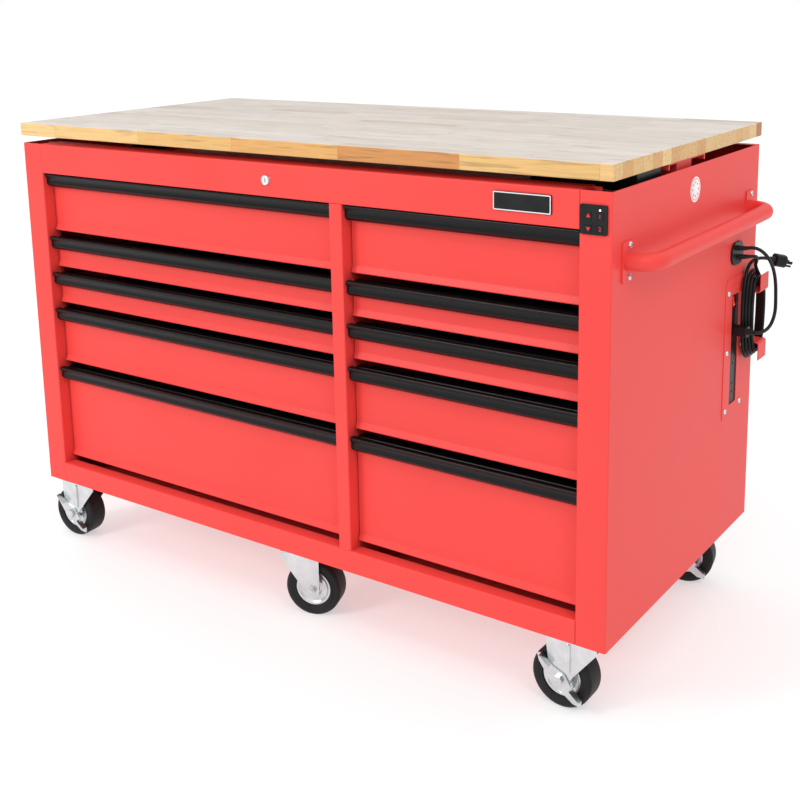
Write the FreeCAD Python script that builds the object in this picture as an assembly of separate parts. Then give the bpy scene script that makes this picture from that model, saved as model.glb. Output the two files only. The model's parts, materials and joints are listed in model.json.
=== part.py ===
import FreeCAD, Part
import math
import os

# Rolling tool chest with a lifting wooden top. Millimetres, +X right, +Y to the back, +Z up.
# Every piece is drawn from the cabinet's front left bottom corner. save() then moves it to the
# origin, which is on the floor, midway between the outermost points of the chest.

V = FreeCAD.Vector
X_AXIS = V(1, 0, 0)
Y_AXIS = V(0, 1, 0)
Z_AXIS = V(0, 0, 1)

# ---------------------------------------------------------------- driving sizes
body_width = 1549.0
body_depth = 737.0
body_height = 856.0
sheet = 1.5
bend = 2.5

post_width = 62.0
post_depth = 45.0
divider_width = 31.5
top_rail_height = 70.0
top_flange_depth = 62.0
bottom_rail_height = 49.0
left_opening_width = 873.0

# drawer rows, from the top; the last row takes the height that is left
shallow_heights = [140.5, 76.5, 76.5, 137.0]
top_row_gap = 2.0
finger_gap = 13.5
bottom_row_gap = 15.5
front_recess = 30.0
front_side_gap = 2.5
front_sheet = 1.2
front_pan_depth = 20.0
front_top_gap = 5.0
lip_height = 15.0
lip_flare = 6.0
tray_sheet = 1.0
tray_length = 600.0
tray_top_gap = 14.0
tray_bottom_gap = 8.0
drawer_travel = 480.0

rail_width = 12.5
rail_height = 36.0
rail_sheet = 1.5
runner_gap = 1.5
runner_clearance = 2.0
tray_gap = 0.5

pull_depth = 28.5
pull_height = 32.0
pull_wall = 2.2
pull_lip = 14.0
pull_top_flange = 17.0
end_cap = 3.0

worktop_thickness = 30.0
worktop_overhang = 3.0
worktop_gap = 18.0
worktop_edge = 2.0
lift_travel = 300.0
column_width = 48.0
column_depth = 80.0
column_wall = 2.5
column_clearance = 1.0
column_side_gap = 8.0
column_front = 300.0
column_top_gap = 26.0
inner_column_length = 640.0
crossbar_width = 30.0
crossbar_height = 25.0
bracket_front = 252.0
bracket_back = 433.0

caster_height = 165.0
wheel_radius = 63.5
wheel_width = 51.0
hub_radius = 40.0
axle_radius = 6.0
axle_clearance = 0.05
fork_gap = 3.0
fork_sheet = 3.0
caster_trail = 36.0
caster_inset_x = 73.0
caster_inset_y = 62.0
plate_thickness = 4.0
race_radius = 36.0
plate_length = 102.0
plate_width = 86.0
bolt_spacing_x = 76.0
bolt_spacing_y = 60.0
bolt_radius = 4.0
hole_clearance = 0.2
bolt_head_radius = 7.0
bolt_head_clearance = 1.5
brake_tilt = 41.0
brake_reach = 64.0

handle_radius = 16.0
handle_wall = 1.6
handle_reach = 66.0
handle_bend = 46.0
handle_front = 60.0
handle_back = 682.0
handle_level = 725.0
handle_plate_width = 42.0
handle_plate_height = 74.0
handle_plate_sheet = 3.0

lock_level = 821.0
lock_radius = 9.0
lock_bezel_radius = 12.0
lock_stand = 6.0
lock_clearance = 0.05
lock_lift = 8.0

panel_side_gap = 8.0
panel_width = 51.0
panel_height = 52.5
panel_top = 832.5
panel_thickness = 4.0
name_plate_gap = 56.0
name_plate_width = 118.0
name_plate_top = 842.0
name_plate_height = 35.0
key_size = 12.0
key_gap = 0.35
key_travel = 0.5

cover_front = 561.0
cover_back = 679.0
cover_bottom = 274.0
cover_top = 585.0
slot_front = 600.0
slot_back = 640.0
slot_bottom = 300.0
slot_top = 546.0
strip_depth = 36.0
socket_level = 465.0
spare_socket_level = 400.0
rocker_level = 528.0
rocker_tilt = 7.0
rocker_half_width = 9.8
rocker_side_gap = 0.7
rocker_pin_radius = 1.5
rocker_pin_length = 2.0
rocker_pin_clearance = 0.05

grommet_front = 582.0
grommet_back = 650.0
grommet_bottom = 612.0
grommet_top = 661.0
grommet_flange = 4.0

hook_front = 660.0
hook_width = 48.0
hook_stand = 40.0
hook_sheet = 2.0
upper_hook_level = 545.0
lower_hook_level = 430.0
hook_tab = 38.0

mains_diameter = 7.5
lift_diameter = 7.5
coil_top = 600.0
plug_length = 32.0
mains_plug_length = 26.0
plug_relief = 13.0
lift_plug_reach = plug_length + plug_relief - 0.4

# ---------------------------------------------------------------- derived places
right_side = body_width
back_side = body_depth
panel_left = body_width - panel_side_gap - panel_width
name_plate_left = panel_left - name_plate_gap - name_plate_width
opening_bottom = bottom_rail_height
opening_top = body_height - top_rail_height
divider_left = post_width + left_opening_width
divider_right = divider_left + divider_width
columns = {
    "left": (post_width, divider_left),
    "right": (divider_right, body_width - post_width),
}
worktop_bottom = body_height + worktop_gap
worktop_top = worktop_bottom + worktop_thickness
deck_level = opening_top + 4.0
axle_level = -caster_height + wheel_radius
wheel_left_reach = caster_trail + wheel_radius - caster_inset_x
middle_x = (body_width + handle_reach - wheel_left_reach) / 2
origin_shift = V(-middle_x, -body_depth / 2, caster_height)

# each caster: swivel axis x, y, the heading of its trail in degrees, and whether it has a brake
caster_places = {
    "front_left": (caster_inset_x, caster_inset_y, 184.0, True),
    "front_middle": (body_width / 2, caster_inset_y, 19.0, False),
    "front_right": (body_width - caster_inset_x, caster_inset_y, 180.0, True),
    "back_left": (caster_inset_x, body_depth - caster_inset_y, 176.0, True),
    "back_middle": (body_width / 2, body_depth - caster_inset_y, 160.0, False),
    "back_right": (body_width - caster_inset_x, body_depth - caster_inset_y, 191.0, True),
}


def drawer_rows():
    """(top, bottom) levels of each row's front, from the top row down."""
    rows = []
    top = opening_top - top_row_gap
    for height in shallow_heights:
        rows.append((top, top - height))
        top = top - height - finger_gap
    rows.append((top, opening_bottom + bottom_row_gap))
    return rows


rows = drawer_rows()
parts = {}


# ---------------------------------------------------------------- helpers
def add(node, *solids):
    parts.setdefault(node, []).extend(solids)


def box(x0, x1, y0, y1, z0, z1):
    return Part.makeBox(x1 - x0, y1 - y0, z1 - z0, V(x0, y0, z0))


def rod(start, axis, radius, length):
    return Part.makeCylinder(radius, length, start, axis)


def fused(*solids):
    return solids[0].multiFuse(list(solids[1:])).removeSplitter()


def mirrored_x(solid, middle):
    return solid.mirror(V(middle, 0, 0), X_AXIS)


def placer(axis, level):
    """Turns a pair of flat coordinates into a point on the plane axis = level."""
    if axis == "x":
        return lambda u, v: V(level, u, v)
    if axis == "y":
        return lambda u, v: V(u, level, v)
    return lambda u, v: V(u, v, level)


def outline(corners, place):
    """A closed wire through (u, v) or (u, v, radius) corners, rounded where a radius is given."""
    ends = []
    arcs = []
    count = len(corners)
    for i, corner in enumerate(corners):
        radius = corner[2] if len(corner) > 2 else 0
        here = V(corner[0], corner[1], 0)
        if radius <= 0:
            ends.append((here, here))
            arcs.append(None)
            continue
        before = corners[i - 1]
        after = corners[(i + 1) % count]
        a = (V(before[0], before[1], 0) - here).normalize()
        c = (V(after[0], after[1], 0) - here).normalize()
        half = a.getAngle(c) / 2
        reach = radius / math.tan(half)
        inward = (a + c).normalize()
        ends.append((here + a * reach, here + c * reach))
        arcs.append(here + inward * (radius / math.sin(half) - radius))
    edges = []
    for i in range(count):
        start, finish = ends[i]
        if arcs[i] is not None:
            points = [place(p.x, p.y) for p in (start, arcs[i], finish)]
            edges.append(Part.Arc(*points).toShape())
        following = ends[(i + 1) % count][0]
        if (following - finish).Length > 1e-6:
            edges.append(Part.LineSegment(place(finish.x, finish.y), place(following.x, following.y)).toShape())
    return Part.Wire(edges)


def slab(corners, axis, low, high):
    """A flat plate with that outline, from low to high along the axis."""
    face = Part.Face(outline(corners, placer(axis, low)))
    direction = {"x": X_AXIS, "y": Y_AXIS, "z": Z_AXIS}[axis]
    return face.extrude(direction * (high - low))


def rectangle(u0, u1, v0, v1, radius=0.0):
    return [(u0, v0, radius), (u1, v0, radius), (u1, v1, radius), (u0, v1, radius)]


def sheet_outline(path, thickness):
    """The closed section of a folded sheet, whose thickness lies to the left of its outer line."""
    points = [V(p[0], p[1], 0) for p in path]
    radii = [p[2] if len(p) > 2 else 0.0 for p in path]
    steps = [(b - a).normalize() for a, b in zip(points, points[1:])]
    lefts = [V(-s.y, s.x, 0) for s in steps]
    inner = [(points[0] + lefts[0] * thickness, 0.0)]
    for i in range(1, len(points) - 1):
        miter = (lefts[i - 1] + lefts[i]) * (thickness / (1 + lefts[i - 1].dot(lefts[i])))
        turns_left = steps[i - 1].cross(steps[i]).z > 0
        radius = radii[i] - thickness if turns_left else radii[i] + thickness
        inner.append((points[i] + miter, max(radius, 0.0) if radii[i] > 0 else 0.0))
    inner.append((points[-1] + lefts[-1] * thickness, 0.0))
    outer = [(p.x, p.y, r) for p, r in zip(points, radii)]
    return outer + [(p.x, p.y, r) for p, r in reversed(inner)]


def folded(path, thickness, axis, low, high):
    return slab(sheet_outline(path, thickness), axis, low, high)


def turned(section, centre, axis):
    """A solid of revolution from (radius, along) corners about an axis through centre."""
    side = X_AXIS if abs(axis.x) < 0.5 else Z_AXIS

    def place(radius, along):
        return centre + side * radius + axis * along

    return Part.Face(outline(section, place)).revolve(centre, axis, 360)


def swept_tube(centreline, start, direction, radius):
    ring = Part.Wire([Part.Circle(start, direction, radius).toShape()])
    return centreline.makePipeShell([ring], True, False)


# ---------------------------------------------------------------- cabinet shell
def side_with_post():
    """Left side and left front post, folded from one sheet."""
    path = [
        (0, back_side),
        (0, 0, bend),
        (post_width, 0, 3.0),
        (post_width, post_depth, bend),
        (post_width - 22.0, post_depth),
    ]
    return folded(path, sheet, "z", 0, body_height)


def strip_window():
    """The opening in the right side behind the slotted cover."""
    return box(right_side - 10, right_side + 1, slot_front - 4, slot_back + 4, slot_bottom - 8, slot_top + 8)


def grommet_hole():
    corners = rectangle(grommet_front + 6, grommet_back - 6, grommet_bottom + 6, grommet_top - 6, 16.0)
    return slab(corners, "x", right_side - 20, right_side + 20)


def screw_places():
    """(y, z, level) of each screw on the right side; level is the face that its head sits on."""
    places = []
    for y in (handle_front + 8.0, handle_back + 8.0):
        for z in (handle_level - 29.0, handle_level + 29.0):
            places.append((y, z, right_side + handle_plate_sheet))
    for z in (cover_bottom + 18.0, (cover_bottom + cover_top) / 2 - 6.0, cover_top - 31.0):
        places.append((cover_front + 16.0, z, right_side + sheet))
        places.append((cover_back - 14.0, z, right_side + sheet))
    return places


def screw_holes():
    return [rod(V(right_side - 12, y, z), X_AXIS, 2.5, 20) for y, z, level in screw_places()]


def caster_bolt_places():
    places = []
    for x, y, heading, braked in caster_places.values():
        for dx in (-bolt_spacing_x / 2, bolt_spacing_x / 2):
            for dy in (-bolt_spacing_y / 2, bolt_spacing_y / 2):
                places.append((x + dx, y + dy))
    return places


def bolt_head_room():
    """Clear space round each caster bolt's head, above the floor."""
    radius = bolt_head_radius + bolt_head_clearance
    return [rod(V(x, y, 0), Z_AXIS, radius, 10) for x, y in caster_bolt_places()]


def cabinet_shell():
    left = side_with_post()
    right = mirrored_x(side_with_post(), body_width / 2)
    right = right.cut([strip_window(), grommet_hole()] + screw_holes())
    back_path = [
        (back_side - 22, body_height),
        (back_side, body_height, bend),
        (back_side, 0),
    ]
    inside_left = sheet
    inside_right = body_width - sheet
    back_outline = [(p[0], p[1], *p[2:]) for p in reversed(back_path)]
    back = folded(back_outline, sheet, "x", inside_left, inside_right)
    floor = box(inside_left, inside_right, sheet, back_side - sheet, 0, sheet).cut([left, right])
    bolt_hole = bolt_radius + hole_clearance
    floor = floor.cut([rod(V(x, y, -1), Z_AXIS, bolt_hole, 5) for x, y in caster_bolt_places()])
    deck_right = body_width - post_width
    deck = box(post_width, deck_right, post_depth, back_side - sheet, deck_level, deck_level + sheet)
    add("cabinet_shell", left, right, back, floor, deck)
    for x in (divider_left, divider_right - sheet):
        upright = box(x, x + sheet, divider_width, back_side - sheet, sheet, deck_level)
        add("cabinet_shell", upright.cut(bolt_head_room()))
    rear_path = [
        (post_width, 600),
        (post_width, 696, bend),
        (sheet, 696),
    ]
    rear_post = folded(rear_path, sheet, "z", sheet, deck_level)
    add("cabinet_shell", rear_post, mirrored_x(rear_post, body_width / 2))
    for left_wall, right_wall in columns.values():
        for row in rows:
            level = rail_level(row)
            rail = slide_rail(left_wall, level)
            add("cabinet_shell", rail, mirrored_x(rail, (left_wall + right_wall) / 2))


# ---------------------------------------------------------------- slides
def tray_levels(row):
    top, bottom = row
    return bottom + tray_bottom_gap, top - tray_top_gap


def rail_level(row):
    low, high = tray_levels(row)
    return low + rail_height / 2 + 4.0


def slide_front():
    return post_depth + 7.0


def slide_rail(wall, level):
    """Fixed slide member: a channel on the wall, open towards the drawer."""
    low = level - rail_height / 2
    path = [
        (wall + rail_width, low),
        (wall, low, 1.8),
        (wall, low + rail_height, 1.8),
        (wall + rail_width, low + rail_height),
    ]
    path.reverse()
    return folded(path, rail_sheet, "y", slide_front() - 1, slide_front() + tray_length)


def slide_runner(wall, level):
    """Moving slide member, inside the channel and against the tray."""
    half = rail_height / 2 - rail_sheet - runner_clearance
    x0 = wall + rail_sheet + runner_gap
    x1 = wall + rail_width + tray_gap
    return box(x0, x1, slide_front(), slide_front() + tray_length - 4, level - half, level + half)


# ---------------------------------------------------------------- drawers
def drawer_front(x0, x1, row):
    """A shallow folded pan: face, top flange, flared lip below and a return at each end."""
    top, bottom = row
    face = front_recess
    back = face + front_pan_depth
    path = [
        (back, top - front_top_gap),
        (face, top - front_top_gap, 1.8),
        (face, bottom + lip_height, 4.0),
        (face - lip_flare, bottom, 1.8),
        (back, bottom),
    ]
    skin = folded(path, front_sheet, "x", x0, x1)
    returns = []
    for x in (x0, x1 - front_sheet):
        returns.append(box(x, x + front_sheet, face + 0.6, back, bottom + 0.6, top - front_top_gap - 0.6))
    return fused(skin, *returns)


def drawer_tray(x0, x1, row):
    """Open box behind the front, folded from thinner sheet."""
    low, high = tray_levels(row)
    front = front_recess + front_pan_depth
    back = slide_front() + tray_length
    outside = box(x0, x1, front, back, low, high)
    t = tray_sheet
    inside = box(x0 + t, x1 - t, front + t, back - t, low + t, high + 1)
    return outside.cut(inside)


def pull_path():
    """Outer line of the pull's section, from the drawer's face: y forwards is negative."""
    return [
        (pull_top_flange, -front_top_gap),
        (0.0, -front_top_gap, 1.0),
        (0.0, -pull_height + 0.5, 0.0),
        (-13.0, -pull_height, 3.0),
        (-21.0, -pull_height + 7.5, 3.0),
        (-19.5, -13.0, 14.0),
        (-pull_depth, 0.0, 3.0),
        (-pull_lip, 0.0),
    ]


def drawer_pull(x0, x1, row):
    """Full-width extrusion with a hooked lip, and a cap on each end."""
    top, bottom = row
    path = [(front_recess + p[0], top + p[1], *p[2:]) for p in reversed(pull_path())]
    profile = folded(path, pull_wall, "x", x0 + end_cap, x1 - end_cap)
    cap_corners = [
        (front_recess, top - front_top_gap, 0),
        (front_recess, top - pull_height + 0.5, 0),
        (front_recess - 13, top - pull_height, 3),
        (front_recess - 21, top - pull_height + 7.5, 3),
        (front_recess - 19.5, top - 13, 14),
        (front_recess - pull_depth, top, 3),
        (front_recess - pull_lip + 2, top, 3),
    ]
    caps = [slab(cap_corners, "x", x, x + end_cap) for x in (x0, x1 - end_cap)]
    return [profile] + caps


def drawers():
    for column, (left_wall, right_wall) in columns.items():
        middle = (left_wall + right_wall) / 2
        for number, row in enumerate(rows, 1):
            node = f"drawer_{column}_{number}"
            x0 = left_wall + front_side_gap
            x1 = right_wall - front_side_gap
            side = rail_width + tray_gap
            runner = slide_runner(left_wall, rail_level(row))
            add(node, drawer_front(x0, x1, row))
            add(node, drawer_tray(left_wall + side, right_wall - side, row))
            add(node, runner, mirrored_x(runner, middle))
            add(f"pull_{column}_{number}", *drawer_pull(x0, x1, row))


# ---------------------------------------------------------------- front frame
def lock_axis_x():
    return body_width / 2


def front_frame():
    rail_left = post_width
    rail_right = body_width - post_width
    top_path = [
        (top_flange_depth, body_height - 10),
        (top_flange_depth, body_height, bend),
        (0, body_height, bend),
        (0, opening_top, bend),
        (28, opening_top),
    ]
    top_rail = folded(top_path, sheet, "x", rail_left, rail_right)
    lock_hole = rod(V(lock_axis_x(), -5, lock_level), Y_AXIS, lock_radius + 1.5, 15)
    top_rail = top_rail.cut(lock_hole)
    bottom_path = [
        (30, opening_bottom),
        (0, opening_bottom, bend),
        (0, 0),
    ]
    bottom_rail = folded(bottom_path, sheet, "x", rail_left, rail_right)
    bottom_rail = bottom_rail.cut(box(0, body_width, sheet, 40, 0, sheet))
    divider_path = [
        (divider_left, divider_width),
        (divider_left, 0, 3.0),
        (divider_right, 0, 3.0),
        (divider_right, divider_width),
    ]
    divider = folded(divider_path, sheet, "z", opening_bottom, opening_top)
    add("front_frame", top_rail, bottom_rail, divider)


# ---------------------------------------------------------------- lock
def lock():
    x = lock_axis_x()
    bezel = turned(
        [
            (lock_radius + lock_clearance, -lock_stand),
            (lock_bezel_radius - 2, -lock_stand, 0.8),
            (lock_bezel_radius, 0),
            (lock_radius + 1.4, 0),
            (lock_radius + 1.4, 22),
            (lock_radius + lock_clearance, 22),
        ],
        V(x, 0, lock_level),
        Y_AXIS,
    )
    add("bright_hardware", bezel)
    plug = rod(V(x, -lock_stand + 1, lock_level), Y_AXIS, lock_radius, 25 + lock_stand - 1)
    keyway = box(x - 1, x + 1, -lock_stand, -lock_stand + 6, lock_level - 4.5, lock_level + 4.5)
    cam = slab(rectangle(x - 8, x + 16, lock_level - 7, lock_level + 7, 6.5), "y", 25, 28)
    pin = rod(V(x + 10, 28, lock_level), Y_AXIS, 2.5, 8)
    add("lock_cylinder", fused(plug.cut(keyway), cam, pin))


def lock_bar():
    """One welded bar: a slotted strap that the cam's pin lifts, and an upright with a catch at each row."""
    x = lock_axis_x()
    y0 = 31.0
    y1 = 33.0
    middle = (divider_left + divider_right) / 2
    strap = box(x - 20, middle + 6, y0, y1, lock_level - 12, lock_level + 14)
    slot = slab(rectangle(x - 6, x + 16, lock_level - 3.2, lock_level + 6.6, 2.8), "y", y0 - 1, y1 + 1)
    upright = box(middle - 6, middle + 6, y0, y1, opening_bottom + 20, lock_level + 14)
    catches = [box(middle - 10, middle + 10, y0, y1, top - 40, top - 30) for top, bottom in rows]
    add("lock_bar", fused(strap.cut(slot), upright, *catches))


# ---------------------------------------------------------------- worktop and lift
def column_left():
    return column_side_gap


def lift():
    x0 = column_left()
    x1 = x0 + column_width
    y0 = column_front
    y1 = y0 + column_depth
    top = body_height - column_top_gap
    outer = box(x0, x1, y0, y1, sheet, top)
    outer = outer.cut(box(x0 + column_wall, x1 - column_wall, y0 + column_wall, y1 - column_wall, 6, top + 1))
    step = column_wall + column_clearance
    bracket_top = worktop_bottom
    bracket_base = bracket_top - 5.0
    inner_low = bracket_base - inner_column_length
    inner = box(x0 + step, x1 - step, y0 + step, y1 - step, inner_low, bracket_base)
    core = box(x0 + 2 * step, x1 - 2 * step, y0 + 2 * step, y1 - 2 * step, inner_low - 1, bracket_base - 4)
    inner = inner.cut(core)
    bracket_path = [
        (bracket_front, bracket_top - 14),
        (bracket_front, bracket_top, bend),
        (bracket_back, bracket_top, bend),
        (bracket_back, bracket_top - 14),
    ]
    bracket_path.reverse()
    bracket = folded(bracket_path, 5.0, "x", x0 - 2, post_width + 4)
    for pair in ((outer, "lift_columns"), (inner, "lift_frame"), (bracket, "lift_frame")):
        add(pair[1], pair[0], mirrored_x(pair[0], body_width / 2))
    for y in (bracket_front + 8.0, bracket_back - 8.0 - crossbar_width):
        low = worktop_bottom - 5.0 - crossbar_height
        left = post_width + 4
        tube = box(left, body_width - left, y, y + crossbar_width, low, low + crossbar_height)
        tube = fused(tube, *[
            box(x, x + 30, y, y + crossbar_width, low + crossbar_height, worktop_bottom)
            for x in (post_width + 4, body_width / 2 - 15, body_width - post_width - 34)
        ])
        add("lift_frame", tube)


def lift_drives():
    """Gear motor beside each column, and the control box under the right end."""
    top = worktop_bottom
    y0 = column_front
    motor = slab(rectangle(y0 + 4, y0 + column_depth - 4, top - 62, top, 10.0), "x", post_width + 6, post_width + 84)
    add("lift_drives", motor, mirrored_x(motor, body_width / 2))
    control = slab(rectangle(130, 235, top - 38, top, 5.0), "x", body_width - 230, body_width - 14)
    add("lift_drives", control)


def worktop():
    o = worktop_overhang
    board = box(-o, body_width + o, -o, body_depth + o, worktop_bottom, worktop_top)
    add("worktop", board.makeFillet(worktop_edge, board.Edges))


# ---------------------------------------------------------------- right side fittings
def push_handle():
    reach = handle_reach - handle_radius
    start = V(right_side + handle_plate_sheet, handle_front, handle_level)
    bend_x = right_side + reach
    r = min(handle_bend, reach - handle_plate_sheet - 0.5)
    s = r * (1 - math.sqrt(0.5))
    first = V(bend_x - r, handle_front, handle_level)
    second = V(bend_x, handle_front + r, handle_level)
    third = V(bend_x, handle_back - r, handle_level)
    fourth = V(bend_x - r, handle_back, handle_level)
    end = V(right_side + handle_plate_sheet, handle_back, handle_level)
    line = Part.Wire([
        Part.LineSegment(start, first).toShape(),
        Part.Arc(first, V(bend_x - s, handle_front + s, handle_level), second).toShape(),
        Part.LineSegment(second, third).toShape(),
        Part.Arc(third, V(bend_x - s, handle_back - s, handle_level), fourth).toShape(),
        Part.LineSegment(fourth, end).toShape(),
    ])
    tube = swept_tube(line, start, X_AXIS, handle_radius)
    tube = tube.cut(swept_tube(line, start, X_AXIS, handle_radius - handle_wall))
    plates = []
    for y in (handle_front, handle_back):
        half = handle_plate_height / 2
        corners = rectangle(y - 21, y - 21 + handle_plate_width, handle_level - half, handle_level + half, 6.0)
        plates.append(slab(corners, "x", right_side, right_side + handle_plate_sheet).cut(screw_holes()))
    add("push_handle", tube, *plates)


def strip_cover():
    """Slotted cover plate with chamfered top corners, and the two cord hooks beside it."""
    corners = [
        (cover_front, cover_bottom, 4),
        (cover_back, cover_bottom, 4),
        (cover_back, cover_top - 20, 4),
        (cover_back - 20, cover_top, 4),
        (cover_front + 12, cover_top, 4),
        (cover_front, cover_top - 12, 4),
    ]
    plate = slab(corners, "x", right_side, right_side + sheet)
    slot_corners = rectangle(slot_front, slot_back, slot_bottom, slot_top, 2.0)
    slot = slab(slot_corners, "x", right_side - 1, right_side + 3)
    add("strip_cover", plate.cut([slot] + screw_holes()))
    for level, way in ((upper_hook_level, 1), (lower_hook_level, -1)):
        path = [
            (right_side, level - way * 25),
            (right_side, level, 2.5),
            (right_side + hook_stand, level, 4.0),
            (right_side + hook_stand, level + way * hook_tab),
        ]
        if way > 0:
            path.reverse()
        hook = folded(path, hook_sheet, "y", hook_front, hook_front + hook_width)
        against_side = right_side + hook_sheet + 0.2
        beside_plate = box(right_side - 1, against_side, hook_front - 1, cover_back + 1, 300, 700)
        add("strip_cover", hook.cut(beside_plate))


def power_strip():
    """Black strip behind the slot: body, a well for the rocker, one free socket, two small ports."""
    x1 = right_side - 0.5
    x0 = x1 - strip_depth
    body = slab(rectangle(slot_front - 2, slot_back + 2, slot_bottom - 6, slot_top + 6, 3.0), "x", x0, x1)
    middle = (slot_front + slot_back) / 2
    well_half = rocker_half_width + rocker_side_gap
    well = box(x1 - 16, x1 + 1, middle - well_half, middle + well_half, rocker_level - 13, rocker_level + 13)
    cuts = [well, rocker_pins(rocker_pin_radius + rocker_pin_clearance, rocker_pin_length + 0.5)]
    for level in (socket_level, spare_socket_level):
        for dy in (-6.5, 6.5):
            cuts.append(box(x1 - 18, x1 + 1, middle + dy - 1.1, middle + dy + 1.1, level - 4, level + 4))
        cuts.append(rod(V(x1 - 18, middle, level - 9), X_AXIS, 2.6, 20))
    for level in (slot_bottom + 25, slot_bottom + 45):
        cuts.append(box(x1 - 8, x1 + 1, middle - 3, middle + 3, level - 2, level + 2))
    add("power_strip", body.cut(cuts))


def rocker_pivot():
    return V(right_side - 7.0, (slot_front + slot_back) / 2, rocker_level)


def rocker_pins(radius, length):
    """One rod along the rocker's axis, long enough to stand out of both its sides by length."""
    reach = rocker_half_width + rocker_side_gap + length
    return rod(rocker_pivot() - Y_AXIS * reach, Y_AXIS, radius, 2 * reach)


def rocker_switch():
    """Rocker with a shallow V face on two pins, at rest with its upper half pressed in."""
    pivot = rocker_pivot()
    section = [
        (pivot.x - 4, pivot.z - 11),
        (pivot.x + 3.5, pivot.z - 11, 1.0),
        (pivot.x + 1.6, pivot.z, 6.0),
        (pivot.x + 3.5, pivot.z + 11, 1.0),
        (pivot.x - 4, pivot.z + 11),
    ]
    rocker = slab(section, "y", pivot.y - rocker_half_width, pivot.y + rocker_half_width)
    rocker.rotate(pivot, Y_AXIS, -rocker_tilt)
    add("rocker_switch", fused(rocker, rocker_pins(rocker_pin_radius, rocker_pin_length)))


def cable_grommet():
    flange = slab(
        rectangle(grommet_front, grommet_back, grommet_bottom, grommet_top, 22.0),
        "x", right_side, right_side + grommet_flange,
    )
    neck = slab(
        rectangle(grommet_front + 6.3, grommet_back - 6.3, grommet_bottom + 6.3, grommet_top - 6.3, 15.7),
        "x", right_side - 9, right_side,
    )
    add("cable_grommet", fused(flange, neck))


def control_panel():
    """Key panel on the right post, and the blank name plate beside it."""
    right = panel_left + panel_width
    low = panel_top - panel_height
    body = slab(rectangle(panel_left, right, low, panel_top, 3.0), "y", -panel_thickness, 0)
    holes = []
    for x, z in key_places().values():
        half = key_size / 2 + key_gap
        holes.append(box(x - half, x + half, -panel_thickness - 1, 1, z - half, z + half))
    lamp = rod(V(panel_left + 38, -panel_thickness - 0.3, panel_top - 8.8), Y_AXIS, 1.8, panel_thickness)
    add("control_panel", body.cut(holes + [lamp]), lamp)
    plate_right = name_plate_left + name_plate_width
    plate_low = name_plate_top - name_plate_height
    plate = slab(rectangle(name_plate_left, plate_right, plate_low, name_plate_top, 2.5), "y", -3, 0)
    add("control_panel", plate)


def key_places():
    return {
        "up_key": (panel_left + 16, panel_top - 20),
        "down_key": (panel_left + 16, panel_top - 42),
        "memory_key_1": (panel_left + 38, panel_top - 20),
        "memory_key_2": (panel_left + 38, panel_top - 42),
    }


def keys():
    half = key_size / 2
    front = -panel_thickness - 0.4
    for name, (x, z) in key_places().items():
        cap = slab(rectangle(x - half, x + half, z - half, z + half, 2.0), "y", front, front + 3.0)
        add(name, cap)


def screws():
    for y, z, level in screw_places():
        shank = rod(V(level - 9, y, z), X_AXIS, 2.4, 9)
        head = turned([(0, 0), (4.5, 0), (4.5, 1.0, 0), (3.0, 2.4, 1.5), (0, 2.4)], V(level, y, z), X_AXIS)
        add("bright_hardware", fused(shank, head))


# ---------------------------------------------------------------- casters
def leg_outline(braked):
    """The braked casters have wider legs, which taper down to the same boss at the axle."""
    top = -13.5
    trail = caster_trail
    front = trail + (28 if braked else 18)
    back = -41 if braked else -race_radius
    return [
        (back, top, 3.0),
        (back, top - 16, 10.0),
        (trail - 15.5, axle_level - 4, 14.0),
        (trail + 1, axle_level - 22, 14.0),
        (trail + 17, axle_level - 10, 14.0),
        (front, top - 26, 10.0),
        (front, top, 8.0),
    ]


def caster_fork(braked):
    """Pressed fork: a channel trimmed to the leg's outline, with the lower race on top."""
    outer = wheel_width / 2 + fork_gap + fork_sheet
    top = -13.5
    bottom = axle_level - 30
    channel_path = [
        (-outer, bottom),
        (-outer, top, 7.0),
        (outer, top, 7.0),
        (outer, bottom),
    ]
    channel_path.reverse()
    channel = folded(channel_path, fork_sheet, "x", -60, 80)
    legs = channel.common(slab(leg_outline(braked), "y", -outer - 5, outer + 5))
    race = Part.makeCylinder(race_radius + 2, 4, V(0, 0, top), Z_AXIS)
    fork = fused(legs, race)
    if braked:
        rib = slab(rectangle(13, 23, axle_level + 17, top - 9, 4.5), "y", outer - 1, outer + 2.5)
        fork = fused(fork, rib)
    king_hole = Part.makeCylinder(7.4, 12, V(0, 0, top - 6), Z_AXIS)
    axle_hole = rod(V(caster_trail, -50, axle_level), Y_AXIS, axle_radius + axle_clearance, 100)
    return fork.cut([king_hole, axle_hole])


def lever_inner():
    return wheel_width / 2 + fork_gap + fork_sheet + 0.5


def caster_axle(braked):
    """Axle bolt with a hexagon head outside and a nut inside."""
    outer = wheel_width / 2 + fork_gap + fork_sheet
    head_face = lever_inner() + 3.0 if braked else outer
    across = 10.5
    hexagon = [(across * math.cos(math.radians(a)), across * math.sin(math.radians(a))) for a in range(0, 360, 60)]
    corners = [(caster_trail + u, axle_level + v, 0.8) for u, v in hexagon]
    head = slab(corners, "y", head_face, head_face + 6.0)
    nut = slab(corners, "y", -outer - 7.0, -outer)
    shank = rod(V(caster_trail, -outer - 9, axle_level), Y_AXIS, axle_radius, outer + 9 + head_face)
    return fused(shank, head, nut)


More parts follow.
